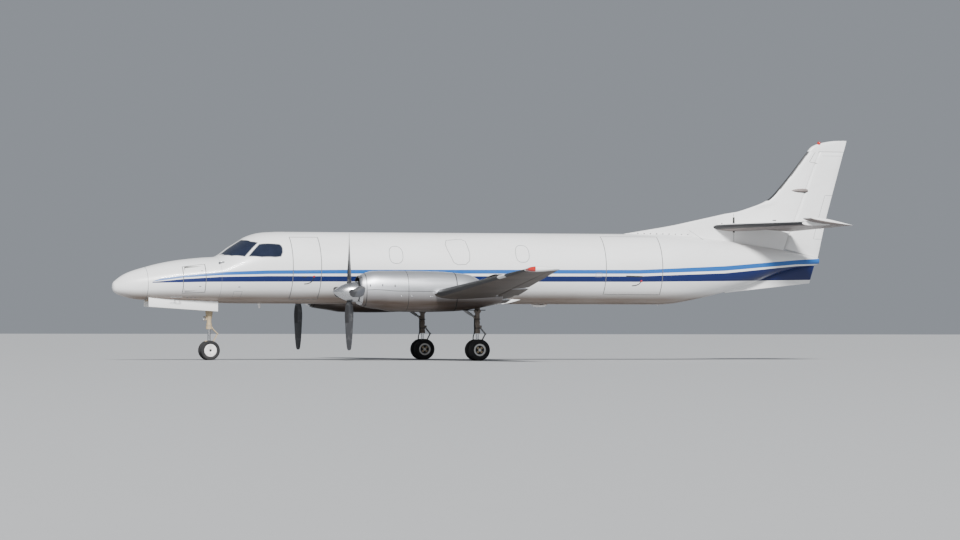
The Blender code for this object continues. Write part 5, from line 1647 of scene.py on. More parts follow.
def build_nacelle(side, word):
    y = side * ENGINE_Y
    lip = ((5.25, 0.05), (5.252, 0.03), (5.258, 0.014), (5.27, 0.004), (5.285, 0.0))
    tail = ((8.67, 0.0), (8.684, 0.012), (8.69, 0.04))
    sections = [cowl_section(s, y, inset) for s, inset in lip]
    sections += [cowl_section(s, y) for s in spread(5.32, 8.64, 44)]
    sections += [cowl_section(s, y, inset) for s, inset in tail]
    nacelle = skin("nacelle_skin_" + word, sections)
    carve(nacelle, intake_cutter(y))
    dress(nacelle, "nacelle metal", replaced=("cowling_" + word, "nacelle_" + word,
                                              "nacelle_top_" + word), angle=35.0)
    repaint(nacelle, "spinner metal", lambda c, n: c.x + LENGTH / 2 < 5.31)
    # Painted shade: the walls that the intake's cutter left are painted near black.
    repaint(nacelle, "dark recess", lambda c, n: 5.2505 < c.x + LENGTH / 2 < 5.43
            and c.z > THRUST_Z and in_intake(c, y))
    bands = [cowl_band(5.395, y, 0.014), cowl_band(6.365, y, 0.01), cowl_band(7.53, y, 0.022)]
    for column in (18, 54):
        bands.append(cowl_strip(y, spread(5.41, 7.51, 24), column, 0.01))
    for column in (30, 42):
        bands.append(cowl_strip(y, spread(6.38, 7.51, 12), column, 0.006))
    bands += [latch(station, y, column, Vector((0.01, 0.005, 0.026)))
              for station in (5.47, 5.75, 6.04) for column in (16, 56)]
    dress(together("nacelle_lines_" + word, bands), "dark recess")
    latches = [latch(station, y, column, Vector((0.022, 0.005, 0.014)))
               for station in (6.2, 6.45, 6.9) for column in (20, 52)]
    dress(together("nacelle_latches_" + word, latches), "polished steel")
    path = smooth_route([at(s, y, z) for s, z in EXHAUST_ROUTE], 4)
    pipe = tube_path("exhaust_pipe_" + word, path, EXHAUST_RADIUS, 40, ends=False)
    apply_modifier(pipe, "SOLIDIFY", thickness=0.01, offset=-1.0)
    collar = turned("exhaust_collar", ((8.55, 0.15), (8.55, 0.153), (8.6, 0.153), (8.6, 0.15)),
                    at(0.0, y, EXHAUST_Z), AFT, 40)
    dress(together("exhaust_pipe_" + word, [pipe, collar]), "burnt metal",
          replaced=("exhaust_" + word,))


def blade_section(centre, turn, radius, half, thick, pitch):
    """Section of a blade at a radius, a little thicker towards one edge."""
    twist = math.radians(pitch)
    chordwise = Vector((math.sin(twist), math.cos(twist), 0))
    normal = Vector((math.cos(twist), -math.sin(twist), 0))
    section = []
    for k in range(20):
        angle = 2 * math.pi * k / 20
        across = math.cos(angle)
        lift = math.sin(angle) * (1 + 0.25 * across)
        point = chordwise * half * across + normal * thick * lift + Vector((0, 0, radius))
        section.append(centre + Matrix.Rotation(turn, 3, "X") @ point)
    return section


def build_propeller(side, word):
    settings = bpy.context.scene.airliner_propeller
    y = side * ENGINE_Y
    centre = at(PROP_STATION, y, THRUST_Z)
    length = SPINNER_BASE - SPINNER_TIP
    profile = [(0.0, 0.0)]
    for share in SPINNER_SHARES:
        profile.append((length * share, SPINNER_RADIUS * (1 - (1 - share) ** SPINNER_POINT)))
    profile += [(length, 0.1), (length + 0.04, 0.1), (length + 0.04, 0.0)]
    spinner = turned("spinner_" + word, profile, at(SPINNER_TIP, y, THRUST_Z),
                     AFT, 64)
    dress(spinner, "spinner metal", "propeller_" + word, ("propeller_" + word,), 30.0)
    seam = turned("spinner_seam", ((0.52, 0.2295), (0.52, 0.2325), (0.526, 0.2335),
                                   (0.526, 0.2295)), at(SPINNER_TIP, y, THRUST_Z),
                  AFT, 64)
    radii = spread(0.16, 1.27, 16) + [1.29, 1.315, 1.33, 1.34, 1.345]
    blades, cuffs = [], [seam]
    for k in range(settings.blades):
        turn = 2 * math.pi * k / settings.blades
        sections = [blade_section(centre, turn, r * settings.radius / PROP_RADIUS,
                                  flow_at(BLADE_HALF_CHORD, r),
                                  flow_at(BLADE_HALF_THICKNESS, r),
                                  flow_at(BLADE_PITCH, r)) for r in radii]
        blades.append(skin("blade", sections))
        out = Matrix.Rotation(turn, 3, "X") @ UP
        cuffs.append(rod("cuff", centre + out * 0.17, centre + out * 0.232, 0.058, 32))
    blades = together("blades_" + word, blades)
    dress(blades, "blade paint", "propeller_" + word)
    repaint(blades, "boot rubber", lambda c, n: is_blade_boot(c, centre))
    dress(together("blade_cuffs_" + word, cuffs), "dark recess", "propeller_" + word)


def is_blade_boot(point, centre):
    """True on the rubber boot along the inner leading edge of a blade."""
    offset = point - centre
    radius = math.hypot(offset.y, offset.z)
    return BLADE_BOOT_START < radius < BLADE_BOOT_END and offset.x < -0.02


# Landing gear

def tyre_profile(radius, rim, width, grooves):
    """Profile of a tyre as (along the axle, radius) points, with grooves in its tread."""
    half = width / 2
    side = [(n, mix(rim, radius, share)) for n, share in
            ((0.62, 0.0), (0.72, 0.03), (0.82, 0.21), (0.95, 0.32), (1.0, 0.52), (0.985, 0.68),
             (0.93, 0.82), (0.82, 0.92), (0.7, 0.965))]
    profile = [(-half * n, r) for n, r in side]
    for k in range(grooves):
        middle = mix(-0.48, 0.48, k / (grooves - 1)) * half
        crown = radius * (1 - 0.012 * (middle / half) ** 2)
        profile += [(middle - 0.0045, crown), (middle - 0.003, crown - 0.006),
                    (middle + 0.003, crown - 0.006), (middle + 0.0045, crown)]
    return profile + [(half * n, r) for n, r in reversed(side)]


def tyre(name, centre, radius, rim, width, body, node):
    grooves = bpy.context.scene.airliner_gear.grooves
    piece = turned(name, tyre_profile(radius, rim, width, grooves), centre, ACROSS,
                   72)
    dress(piece, "tyre rubber", body, (node,), 40.0)


def wheel_disc(centre, side, rim, depth, dished):
    """Outer face of a wheel: rim flange, dish, hub and a ring of bolts."""
    axis = Vector((0, side, 0))
    if dished:
        face = ((0.002, 0.0), (0.002, rim * 0.18), (-0.006, rim * 0.22), (-0.012, rim * 0.3),
                (-0.014, rim * 0.7), (-0.004, rim * 0.78), (0.002, rim * 0.84),
                (0.004, rim * 0.98), (0.0, rim * 1.03), (-0.008, rim * 1.03),
                (-depth, rim * 0.98), (-depth, 0.0))
    else:
        face = ((0.004, 0.0), (0.004, rim * 0.16), (-0.004, rim * 0.2), (0.0, rim * 0.24),
                (0.006, rim * 0.6), (0.004, rim * 0.9), (0.0, rim * 1.06),
                (-0.008, rim * 1.06), (-depth, rim * 0.98), (-depth, 0.0))
    parts = [turned("disc", face, centre, axis, 64)]
    bolts = bpy.context.scene.airliner_gear.wheel_bolts
    reach, level = (rim * 0.9, 0.0) if dished else (rim * 0.76, 0.004)
    for k in range(bolts):
        angle = 2 * math.pi * k / bolts
        spot = centre + Vector((math.cos(angle) * reach, 0, math.sin(angle) * reach))
        parts.append(rod("bolt", spot + axis * level, spot + axis * (level + 0.008), 0.006, 6,
                         0.001))
    return parts


def wheel_lobes(centre, side, rim, dished):
    """Four tan lobes round the middle of a main wheel, or a nose wheel's dark hub cap."""
    axis = Vector((0, side, 0))
    if not dished:
        return [rod("hub_cap", centre, centre + axis * 0.012, rim * 0.2, 32)]
    lobes = []
    for k in range(4):
        angle = math.pi / 4 + math.pi / 2 * k
        spot = centre + Vector((math.cos(angle), 0, math.sin(angle))) * rim * 0.45
        lobes.append(rod("lobe", spot - axis * 0.02, spot - axis * 0.008, rim * 0.21, 24))
    return lobes


def build_wheels(label, station, y, radius, width, twin, body, dished):
    centre = at(station, y, radius)
    rim = radius * (0.56 if dished else 0.62)
    parts, lobes = [], []
    for side in (PORT, STARBOARD):
        word = "port" if side == PORT else "starboard"
        middle = centre + Vector((0, side * twin, 0))
        tyre("%s_tyre_skin_%s" % (label, word), middle, radius, rim, width, body,
             "%s_tyre_%s" % (label, word))
        outer = middle + Vector((0, side * width / 2 * 0.72, 0))
        parts += wheel_disc(outer, side, rim, width * 0.68, dished)
        lobes += wheel_lobes(outer, side, rim, dished)
    parts.append(rod("axle", centre - Vector((0, twin, 0)), centre + Vector((0, twin, 0)),
                     AXLE_RADIUS, 24))
    dress(together(label + "_wheels", parts), "wheel metal", body, (label + "_hub",), 30.0)
    dress(together(label + "_wheel_lobes", lobes), "gear paint" if dished else "dark recess",
          body)


def torque_link(start, end, half_width, thickness):
    """Two arms that meet in a pin at their far end."""
    along = (end - start).normalized()
    parts = []
    for side in (-1, 1):
        shift = Vector((0, side * half_width * 0.75, 0))
        close = Vector((0, side * half_width * 0.35, 0))
        normal = along.cross(ACROSS).normalized() * thickness / 2
        wide = ACROSS * half_width * 0.22
        sections = []
        for point, offset in ((start, shift), (mix(start, end, 0.6), close), (end, close)):
            spot = point + offset
            sections.append([spot - wide - normal, spot + wide - normal, spot + wide + normal,
                             spot - wide + normal])
        parts.append(skin("arm", sections))
    web = plate("web", mix(start, end, 0.45), end, half_width * 0.4, thickness * 0.5)
    pin = rod("pin", end - Vector((0, half_width, 0)), end + Vector((0, half_width, 0)),
              thickness * 0.55, 20)
    return parts + [web, pin]


def axle_sleeve(centre, half, shoulder):
    """Sleeve at the leg's foot that the axle runs through."""
    profile = ((-half, 0.03), (-half, 0.05), (-shoulder, 0.055), (shoulder, 0.055),
               (half, 0.05), (half, 0.03))
    return turned("foot", profile, centre, ACROSS, 32)


def build_main_gear(side, word):
    y = side * ENGINE_Y
    s, radius = MAIN_STATION, MAIN_RADIUS
    casing = turned("casing", ((0.63, 0.045), (0.63, 0.06), (0.64, 0.065), (0.7, 0.065),
                               (0.71, 0.058), (0.84, 0.056), (0.85, 0.062), (0.9, 0.062),
                               (0.91, 0.056), (1.1, 0.056), (1.12, 0.064), (1.299, 0.064),
                               (1.299, 0.0)), at(s, y, 0.0), UP, 40)
    lugs = [block("lug", at(s + 0.03, y - 0.05, 0.765), at(s + 0.095, y + 0.05, 0.815), 0.008),
            block("lug", at(s - 0.09, y - 0.03, 0.975), at(s - 0.03, y + 0.03, 1.03), 0.008),
            rod("trunnion", at(s, y - 0.16, 1.14), at(s, y + 0.16, 1.14), 0.04, 24)]
    # Painted shade: the casing takes the dark brown leg paint.
    dress(together("gear_casing_" + word, [casing] + lugs), "leg paint",
          replaced=("main_leg_" + word,))
    piston = turned("piston", ((radius + 0.03, 0.0), (radius + 0.03, 0.036), (0.62, 0.036),
                               (0.622, 0.046), (0.635, 0.046), (0.64, 0.0)), at(s, y, 0.0), UP,
                    40)
    dress(together("gear_piston_" + word, [piston]), "polished steel")
    foot = axle_sleeve(at(s, y, radius), 0.08, 0.07)
    neck = turned("neck", ((radius + 0.04, 0.05), (0.335, 0.046), (0.35, 0.04)), at(s, y, 0.0),
                  UP, 32)
    arms = torque_link(at(s + 0.05, y, 0.79), at(8.335, y, 0.618), 0.05, 0.026)
    arms += torque_link(at(s + 0.03, y, 0.31), at(8.33, y, 0.612), 0.04, 0.024)
    brace_end = at(7.76, y, 1.21)
    brace_start = at(s - 0.05, y, 0.998)
    arms.append(rod("brace", brace_start, brace_end, 0.024, 24))
    arms.append(rod("brace_sleeve", mix(brace_start, brace_end, 0.3),
                    mix(brace_start, brace_end, 0.75), 0.032, 24))
    discs = [turned("brake", ((-0.012, 0.06), (-0.012, 0.115), (0.012, 0.115), (0.012, 0.06)),
                    at(s, y + shift, radius), ACROSS, 40) for shift in (-0.07, 0.07)]
    dress(together("gear_links_" + word, [foot, neck] + arms + discs), "engine metal")
    hoses = []
    for shift in (-0.022, 0.022):
        route = ((s - 0.066, 1.05), (s - 0.072, 0.85), (s - 0.07, 0.66), (s - 0.1, 0.55),
                 (s - 0.095, 0.42), (s - 0.05, 0.33))
        hoses.append(tube_path("hose", smooth_route([at(a, y + shift, z) for a, z in route]),
                               0.007, 10))
    clips = [turned("clip", ((0.0, 0.0565), (0.0, 0.074), (0.016, 0.074), (0.016, 0.0565)),
                    at(s, y, z), UP, 32) for z in (0.745, 0.955)]
    dress(together("gear_hoses_" + word, hoses + clips), "tyre rubber")
    # Painted shade: a near-black plate under the nacelle stands in for the shaded wheel well.
    well = block("gear_well_shade", at(7.74, y - 0.14, 1.16), at(8.3, y + 0.14, 1.178), 0.01)
    dress(well, "dark recess")


def build_nose_gear():
    s, radius = NOSE_STATION, NOSE_RADIUS
    casing = turned("casing", ((0.786, 0.05), (0.786, 0.062), (0.8, 0.066), (0.84, 0.066),
                               (0.85, 0.056), (0.94, 0.054), (0.96, 0.06), (1.0, 0.07),
                               (1.1, 0.085), (1.2, 0.095), (1.45, 0.095), (1.47, 0.07),
                               (1.7, 0.06), (1.7, 0.0)), at(s, 0.0, 0.0), UP, 40)
    trunnion = rod("trunnion", at(s, -0.213, 1.5), at(s, 0.213, 1.5), 0.035, 32)
    lug = block("lug", at(s - 0.11, -0.03, 0.93), at(s - 0.04, 0.03, 1.02), 0.01)
    dress(together("nose_gear_casing", [casing, trunnion, lug]), "gear paint",
          replaced=("nose_leg",))
    lamp_axis = Vector((-1, 0, 0))
    shell = turned("lamp_shell", ((-0.065, 0.0), (-0.065, 0.02), (-0.03, 0.048), (0.0, 0.055),
                                  (0.008, 0.055), (0.008, 0.05), (0.0, 0.048), (0.0, 0.0)),
                   at(2.182, 0.0, 0.97), lamp_axis, 32)
    dress(shell, "polished steel")
    lens = turned("taxi_lamp_lens", ((0.0, 0.047), (0.006, 0.046), (0.01, 0.025), (0.011, 0.0)),
                  at(2.183, 0.0, 0.97), lamp_axis, 32)
    dress(lens, "lamp clear")
    collar = turned("collar", ((0.72, 0.04), (0.72, 0.07), (0.725, 0.075), (0.778, 0.075),
                               (0.784, 0.07), (0.784, 0.04)), at(s, 0.0, 0.0), UP, 40)
    ears = block("ear", at(s + 0.03, -0.045, 0.73), at(s + 0.085, 0.045, 0.775), 0.008)
    foot = axle_sleeve(at(s, 0.0, radius), 0.05, 0.042)
    tow = block("tow_lug", at(s - 0.105, -0.02, 0.43), at(s - 0.03, 0.02, 0.455), 0.008)
    arms = torque_link(at(s + 0.06, 0.0, 0.752), at(s + 0.205, 0.0, 0.614), 0.04, 0.022)
    arms += torque_link(at(s + 0.02, 0.0, 0.3), at(s + 0.2, 0.0, 0.61), 0.03, 0.02)
    dress(together("nose_gear_links", [collar, ears, foot, tow] + arms), "gear paint",
          "nose_steering")
    piston = turned("piston", ((radius + 0.03, 0.0), (radius + 0.03, 0.046),
                               (radius + 0.08, 0.04), (radius + 0.1, 0.036), (0.7, 0.036),
                               (0.702, 0.046), (0.72, 0.046), (0.72, 0.0)), at(s, 0.0, 0.0), UP,
                    40)
    dress(piston, "polished steel", "nose_steering", ("nose_strut",))
    build_nose_gear_doors()


def build_nose_gear_doors():
    for side, word in SIDES:
        sections = []
        for y in (side * NOSE_DOOR_INNER_Y, side * NOSE_DOOR_OUTER_Y):
            shape = [at(s, y, hull_low_at(s, y) - 0.001)
                     for s in spread(NOSE_DOOR_START, NOSE_DOOR_END, 24)]
            shape += [at(NOSE_DOOR_END, y, 1.133), at(NOSE_DOOR_START, y, 1.242)]
            sections.append(shape)
        door = skin("nose_gear_door_skin_" + word, sections)
        apply_modifier(door, "BEVEL", width=0.004, segments=2, limit_method="ANGLE",
                       angle_limit=math.radians(50))
        hinges = []
        for s in (1.0, 1.4, 1.85, 2.3):
            z = hull_low_at(s, 0.241) + 0.004
            hinges.append(rod("door_hinge", at(s - 0.03, side * 0.241, z),
                              at(s + 0.03, side * 0.241, z), 0.009, 16))
        door = together("nose_gear_door_skin_" + word, [door] + hinges)
        dress(door, "white paint", replaced=("nose_gear_door_" + word,))


def hull_low_at(station, y):
    """Height of the hull's underside at a distance from the middle plane."""
    share = min(abs(y) / flow_at(WIDTH_LINE, station), 1.0)
    return flow_at(WAIST_LINE, station) - hull_rise(station, False) * math.sqrt(1 - share ** 2)


def build_gear():
    for side, word in SIDES:
        build_main_gear(side, word)
        build_wheels("main_" + word, MAIN_STATION, side * ENGINE_Y, MAIN_RADIUS, MAIN_WIDTH,
                     MAIN_TWIN, "main_wheels_" + word, True)
    build_nose_gear()
    build_wheels("nose", NOSE_STATION, 0.0, NOSE_RADIUS, NOSE_WIDTH, NOSE_TWIN, "nose_wheels",
                 False)


# Fittings

def hull_spot(station, z, side):
    """Point of the hull's side at a height, and the direction out of it."""
    angle = -side * hull_angle(station, z)
    point = on_hull(station, angle)
    return point, (point - on_hull(station, angle, 0.05)).normalized()


def blade_aerial(name, station, base, height, chord, rake, up):
    """Swept blade aerial standing on the hull's middle line."""
    sections = []
    for share in (0.0, 0.6, 0.9, 1.0):
        size = 1 - 0.45 * share ** 1.5
        thick = 0.012 * (1 - 0.6 * share)
        front = station + rake * share
        z = base + up * height * share
        sections.append([at(front + chord * size * (0.5 - 0.5 * math.cos(a)),
                            thick * math.sin(a), z) for a in RING_ANGLES])
    return skin(name, sections)


def build_fittings():
    dress(blade_aerial("belly_aerial", 3.47, 1.33, 0.12, 0.07, 0.03, -1), "white paint")
    blister = skin("belly_blister", [[at(s, 0.05 * r * math.sin(a), 1.322 - 0.07 * r
                                         * (1 - math.cos(a)) / 2) for a in
                                      RING_ANGLES] for s, r in
                                     ((10.15, 0.05), (10.17, 0.5), (10.22, 0.85), (10.3, 1.0),
                                      (10.4, 1.0), (10.48, 0.85), (10.53, 0.5), (10.55, 0.05))])
    dress(blister, "white paint")
    fillets = []
    for side, _ in SIDES:
        sections = []
        for share in spread(0.0, 1.0, 12):
            s = mix(8.7, 9.76, share)
            size = 0.13 * (1 - share ** 2.6) + 0.004
            point, out = hull_spot(s, mix(1.42, 1.43, share), side)
            centre = point - out * 0.03 * (1 - share)
            sections.append([centre + out * size * math.sin(a) * 0.7
                             + UP * size * math.cos(a)
                             for a in RING_ANGLES])
        fillets.append(skin("root_fillet", sections))
    dress(together("wing_root_fillets", fillets), "white paint")
    probes = []
    for side, _ in SIDES:
        point, out = hull_spot(2.434, 2.247, side)
        probes.append(rod("vane_base", point - out * 0.01, point + out * 0.006, 0.045, 32))
        probes.append(rod("vane_stem", point, point + out * 0.05, 0.008, 16))
        probes.append(block("vane", point + out * 0.05 - Vector((0.0, 0.003, 0.012)),
                            point + out * 0.05 + Vector((0.09, 0.003, 0.012)), 0.002))
        for s in (1.0, 1.12):
            tip, away = hull_spot(s + 0.4, 1.5, side)
            probes.append(rod("pitot_stem", tip, tip + away * 0.05, 0.01, 12))
            probes.append(rod("pitot_tube", tip + away * 0.05 + Vector((0.03, 0, 0)),
                              tip + away * 0.05 - Vector((0.12, 0, 0)), 0.008, 12))
    probes.append(rod("drain", at(13.3, 0.0, 1.33), at(13.32, 0.0, 1.28), 0.01, 12))
    dress(together("probes", probes), "polished steel")
    dress(rod("aerial_wire", at(14.06, -0.12, 3.09), at(14.36, -0.3, 2.86), 0.003, 8),
          "dark recess")
    build_door_hardware()


def build_door_hardware():
    for body, label, slot, pivot, lever in (
            ("airstair_door", "airstair", ((4.34, 1.94), (4.44, 1.94)), (4.62, 1.95),
             ((4.62, 1.93), (4.6, 1.86), (4.55, 1.81), (4.47, 1.78), (4.4, 1.775))),
            ("cargo_door", "cargo", ((12.25, 1.985), (12.66, 1.975)), (12.64, 1.87),
             ((12.63, 1.85), (12.6, 1.81), (12.55, 1.78), (12.49, 1.765), (12.42, 1.76)))):
        parts = [ribbon("slot", side_path(slot, PORT, 4), 0.03, 0.002),
                 ribbon("lever", side_path(lever, PORT, 3), 0.02, 0.004)]
        dress(together(label + "_handle", parts), "dark recess", body)
        point, out = hull_spot(*pivot, PORT)
        dress(rod(label + "_pivot", point - out * 0.002, point + out * 0.008, 0.024, 24),
              "lamp red", body)
    for side, word in SIDES:
        marks = [dash(1.945, 1.71, side), dash(1.985, 2.07, side)]
        dress(together("hatch_latches_" + word, marks), "sealant", "nose_hatch_" + word)


def build_cockpit_fittings():
    panel = skin("panel_part", [[at(s, y, z) for s, z in
                                 ((2.62, 1.82), (2.62, 2.28), (2.72, 2.36), (2.97, 2.345),
                                  (2.93, 2.3), (2.9, 1.96), (2.8, 1.82))]
                                for y in (-0.5, 0.5)])
    apply_modifier(panel, "BEVEL", width=0.012, segments=3, limit_method="ANGLE")
    pedestal = block("pedestal", at(2.64, -0.12, FLOOR_Z + 0.001), at(3.08, 0.12, 1.88), 0.02)
    levers = []
    for k in range(4):
        y = mix(-0.07, 0.07, k / 3)
        levers.append(rod("lever", at(2.98, y, 1.87), at(2.95, y, 2.0), 0.006, 12))
        levers.append(rod("lever_knob", at(2.95, y - 0.014, 2.0), at(2.95, y + 0.014, 2.0),
                          0.014, 16))
    dress(together("cockpit_panel", [panel, pedestal] + levers), "dark recess",
          replaced=("instrument_panel",))
    dials = []
    for y in [side * (0.14 + 0.09 * k) for side in (-1, 1) for k in range(4)]:
        for z in (2.07, 2.16, 2.25):
            s = mix(2.9, 2.93, (z - 1.96) / 0.34)
            dials.append(rod("dial", at(s - 0.004, y, z), at(s + 0.006, y, z - 0.001), 0.036, 24))
    dress(together("instrument_dials", dials), "polished steel")
    for side, word in SIDES:
        y = side * 0.33
        base = block("seat_base", at(3.28, y - 0.09, FLOOR_Z + 0.001), at(3.58, y + 0.09, 1.87),
                     0.01)
        pan = block("seat_pan", at(3.22, y - 0.2, 1.865), at(3.66, y + 0.2, 1.885), 0.008)
        dress(together("seat_frame_" + word, [base, pan]), "engine metal",
              replaced=("pilot_seat_" + word,))
        cushion = block("seat_cushion_" + word, at(3.2, y - 0.22, 1.885),
                        at(3.62, y + 0.22, 1.98), 0.035)
        backrest = block("seat_back_" + word, at(3.6, y - 0.2, 1.93), at(3.72, y + 0.2, 2.42),
                         0.035)
        headrest = block("seat_headrest_" + word, at(3.61, y - 0.12, 2.46),
                         at(3.7, y + 0.12, 2.62), 0.03)
        for piece in (cushion, backrest, headrest):
            dress(piece, "seat cloth", angle=50.0)
        yoke = [tube_path("yoke", smooth_route([at(2.99, y - 0.14, 2.16), at(2.99, y - 0.13, 2.03),
                                                at(2.98, y, 2.01), at(2.99, y + 0.13, 2.03),
                                                at(2.99, y + 0.14, 2.16)]), 0.013, 12),
                rod("yoke_column", at(2.88, y, 2.02), at(2.98, y, 2.012), 0.016, 16)]
        dress(together("control_yoke_" + word, yoke), "dark recess")


class AIRLINER_OT_fuselage(bpy.types.Operator):
    """Build the fuselage skin, its floor, bay and hold liners and its sealant lines"""
    bl_idname = "airliner.fuselage"
    bl_label = "Fuselage"

    def execute(self, context):
        build_hull()
        build_interior()
        build_panel_lines()
        return {"FINISHED"}


class AIRLINER_OT_doors(bpy.types.Operator):
    """Build the airstair, cargo door and nose hatches"""
    bl_idname = "airliner.doors"
    bl_label = "Doors"

    def execute(self, context):
        build_doors()
        return {"FINISHED"}


class AIRLINER_OT_cockpit(bpy.types.Operator):
    """Build the cockpit's panes, seats, panel and controls"""
    bl_idname = "airliner.cockpit"
    bl_label = "Cockpit"

    def execute(self, context):
        build_cockpit_glass()
        build_cockpit_fittings()
        return {"FINISHED"}


class AIRLINER_OT_wings(bpy.types.Operator):
    """Build the wings with their boots, flaps, ailerons and tip lamps"""
    bl_idname = "airliner.wings"
    bl_label = "Wings"

    def execute(self, context):
        build_wings()
        return {"FINISHED"}


class AIRLINER_OT_tail(bpy.types.Operator):
    """Build the fin, rudder, tailplane, elevators and ventral fin"""
    bl_idname = "airliner.tail"
    bl_label = "Tail"

    def execute(self, context):
        build_fin()
        build_rudder()
        for side, word in SIDES:
            build_tailplane(side, word)
        build_ventral_fin()
        return {"FINISHED"}


class AIRLINER_OT_nacelles(bpy.types.Operator):
    """Build the cowlings, their seams and the exhaust pipes"""
    bl_idname = "airliner.nacelles"
    bl_label = "Nacelles"

    def execute(self, context):
        for side, word in SIDES:
            build_nacelle(side, word)
        return {"FINISHED"}


class AIRLINER_OT_propellers(bpy.types.Operator):
    """Build the spinners and blades"""
    bl_idname = "airliner.propellers"
    bl_label = "Propellers"

    def execute(self, context):
        for side, word in SIDES:
            build_propeller(side, word)
        return {"FINISHED"}


class AIRLINER_OT_gear(bpy.types.Operator):
    """Build the landing gear's legs, links, wheels and doors"""
    bl_idname = "airliner.gear"
    bl_label = "Landing Gear"

    def execute(self, context):
        build_gear()
        return {"FINISHED"}


class AIRLINER_OT_fittings(bpy.types.Operator):
    """Build the aerials, probes, door handles and root fillets"""
    bl_idname = "airliner.fittings"
    bl_label = "Fittings"

    def execute(self, context):
        build_fittings()
        return {"FINISHED"}


class AIRLINER_OT_stage(bpy.types.Operator):
    """Set the floor, the lights and the camera"""
    bl_idname = "airliner.stage"
    bl_label = "Stage"

    def execute(self, context):
        build_stage()
        return {"FINISHED"}


def build_stage():
    settings = bpy.context.scene.airliner_stage
    deselect()
    bpy.ops.mesh.primitive_plane_add(size=900.0, location=(0.0, 0.0, 0.0))
    ground = bpy.context.object
    ground.name = "floor"
    nodes = Nodes("floor")
    fine = nodes.noise(3.0, 4.0)
    shade = nodes.blend(nodes.spread(fine, 0.3, 0.7, 0.0, 0.1), rgba(settings.floor),
                        rgba(settings.floor, 0.85))
    nodes.colour(shade)
    nodes.plain(roughness=0.85)
    ground.data.materials.append(nodes.material)

    world = bpy.context.scene.world or bpy.data.worlds.new("world")
    bpy.context.scene.world = world
    world.use_nodes = True
    sky = world.node_tree.nodes["Background"]
    sky.inputs["Color"].default_value = rgba(settings.backdrop)
    sky.inputs["Strength"].default_value = SKY_STRENGTH

    deselect()
    bpy.ops.object.light_add(type="SUN", rotation=(SUN_TILT, SUN_TURN, 0.0))
    sun = bpy.context.object
    sun.name = "key_light"
    sun.data.energy = settings.key_power
    sun.data.angle = SUN_SPREAD
    deselect()
    bpy.ops.object.light_add(type="AREA", location=FILL_PLACE,
                             rotation=(FILL_TILT, 0.0, SUN_TURN))
    fill = bpy.context.object
    fill.name = "fill_light"
    fill.data.size = FILL_SIZE
    fill.data.energy = FILL_POWER

    back = Vector((math.sin(settings.azimuth), -math.cos(settings.azimuth), 0.0))
    aim = at(CAMERA_STATION, 0.0, CAMERA_HEIGHT)
    deselect()
    bpy.ops.object.camera_add(location=aim + back * CAMERA_DISTANCE)
    camera = bpy.context.object
    camera.name = "camera"
    camera.rotation_mode = "QUATERNION"
    turn = Matrix.Rotation(settings.azimuth, 4, "Z") @ Matrix.Rotation(math.pi / 2, 4, "X")
    camera.rotation_quaternion = (turn @ Matrix.Rotation(CAMERA_ROLL, 4, "Z")).to_quaternion()
    camera.data.lens = CAMERA_LENS
    camera.data.sensor_width = CAMERA_SENSOR
    camera.data.shift_x, camera.data.shift_y = CAMERA_SHIFT
    camera.data.clip_start = 1.0
    camera.data.clip_end = 2000.0
    bpy.context.scene.camera = camera


SLOT_FINISH = {
    "paint_white": "white paint", "aluminium": "metal skin", "rubber": "tyre rubber",
    "steel": "wheel metal", "gear_tan": "gear paint", "exhaust": "burnt metal",
    "glass": "cockpit glass", "interior": "cabin lining", "blade": "blade paint",
}
CAD_FINISH = {
    "instrument_panel": "cabin lining", "pilot_seat_left": "seat cloth",
    "pilot_seat_right": "seat cloth", "engine_left": "engine metal",
    "engine_right": "engine metal",
}


def finish_cad_nodes():
    """Give every CAD node a finish, for those that stay in view."""
    slots = {part["node"]: part["material_slot"] for part in frame["record"]["subparts"]}
    for name, node in frame["nodes"].items():
        finish = CAD_FINISH.get(name, SLOT_FINISH[slots[name]])
        node.data.materials.clear()
        node.data.materials.append(material(finish))


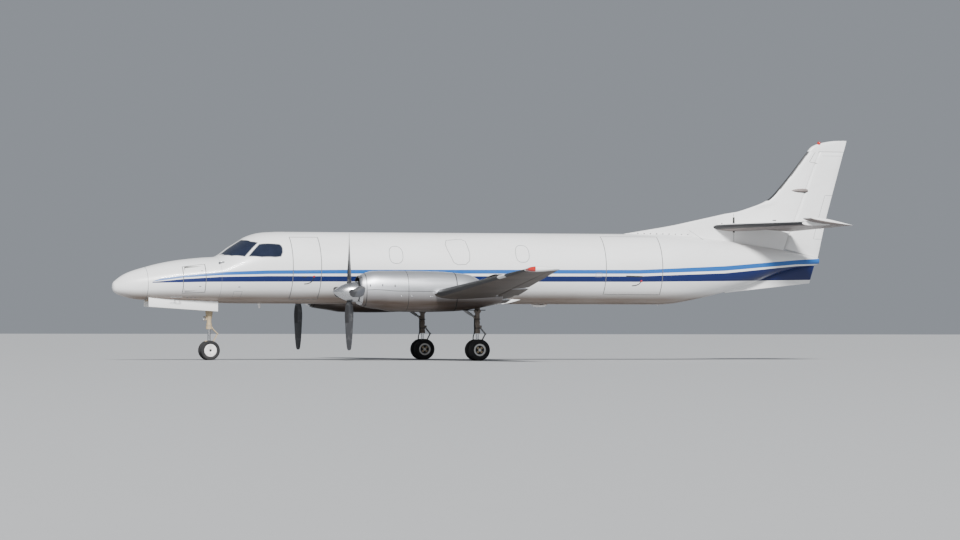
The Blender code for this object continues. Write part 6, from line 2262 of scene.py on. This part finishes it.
class AIRLINER_PT_panel(bpy.types.Panel):
    bl_label = "Airliner"
    bl_idname = "AIRLINER_PT_panel"
    bl_space_type = "VIEW_3D"
    bl_region_type = "UI"
    bl_category = "Airliner"

    def draw(self, context):
        layout = self.layout
        for name, group, steps in PANEL_ROWS:
            box = layout.box()
            box.label(text=name)
            settings = getattr(context.scene, group)
            for key in settings.__annotations__:
                box.prop(settings, key)
            for step in steps:
                box.operator(step)


PANEL_ROWS = (
    ("Livery", "airliner_livery", ()),
    ("Hull", "airliner_hull", ("airliner.fuselage", "airliner.doors", "airliner.cockpit")),
    ("Wings", "airliner_wing", ("airliner.wings", "airliner.tail")),
    ("Propellers", "airliner_propeller", ("airliner.propellers", "airliner.nacelles")),
    ("Landing Gear", "airliner_gear", ("airliner.gear", "airliner.fittings")),
    ("Stage", "airliner_stage", ("airliner.stage",)),
)

SETTINGS = (
    ("airliner_livery", LiverySettings),
    ("airliner_hull", HullSettings),
    ("airliner_wing", WingSettings),
    ("airliner_propeller", PropellerSettings),
    ("airliner_gear", GearSettings),
    ("airliner_stage", StageSettings),
)

CLASSES = (AIRLINER_OT_fuselage, AIRLINER_OT_doors, AIRLINER_OT_cockpit, AIRLINER_OT_wings,
           AIRLINER_OT_tail, AIRLINER_OT_nacelles, AIRLINER_OT_propellers, AIRLINER_OT_gear,
           AIRLINER_OT_fittings, AIRLINER_OT_stage, AIRLINER_PT_panel)


def register():
    for name, group in SETTINGS:
        bpy.utils.register_class(group)
        setattr(bpy.types.Scene, name, bpy.props.PointerProperty(type=group))
    for item in CLASSES:
        bpy.utils.register_class(item)


def unregister():
    for item in reversed(CLASSES):
        bpy.utils.unregister_class(item)
    for name, group in reversed(SETTINGS):
        delattr(bpy.types.Scene, name)
        bpy.utils.unregister_class(group)


def write_sizes():
    """Bring the scene's transforms up to date."""
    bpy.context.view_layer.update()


def main():
    register()
    finish_cad_nodes()
    bpy.ops.airliner.fuselage()
    bpy.ops.airliner.doors()
    bpy.ops.airliner.cockpit()
    bpy.ops.airliner.wings()
    bpy.ops.airliner.tail()
    bpy.ops.airliner.nacelles()
    bpy.ops.airliner.propellers()
    bpy.ops.airliner.gear()
    bpy.ops.airliner.fittings()
    bpy.ops.airliner.stage()
    write_sizes()


if __name__ == "__main__":
    main()
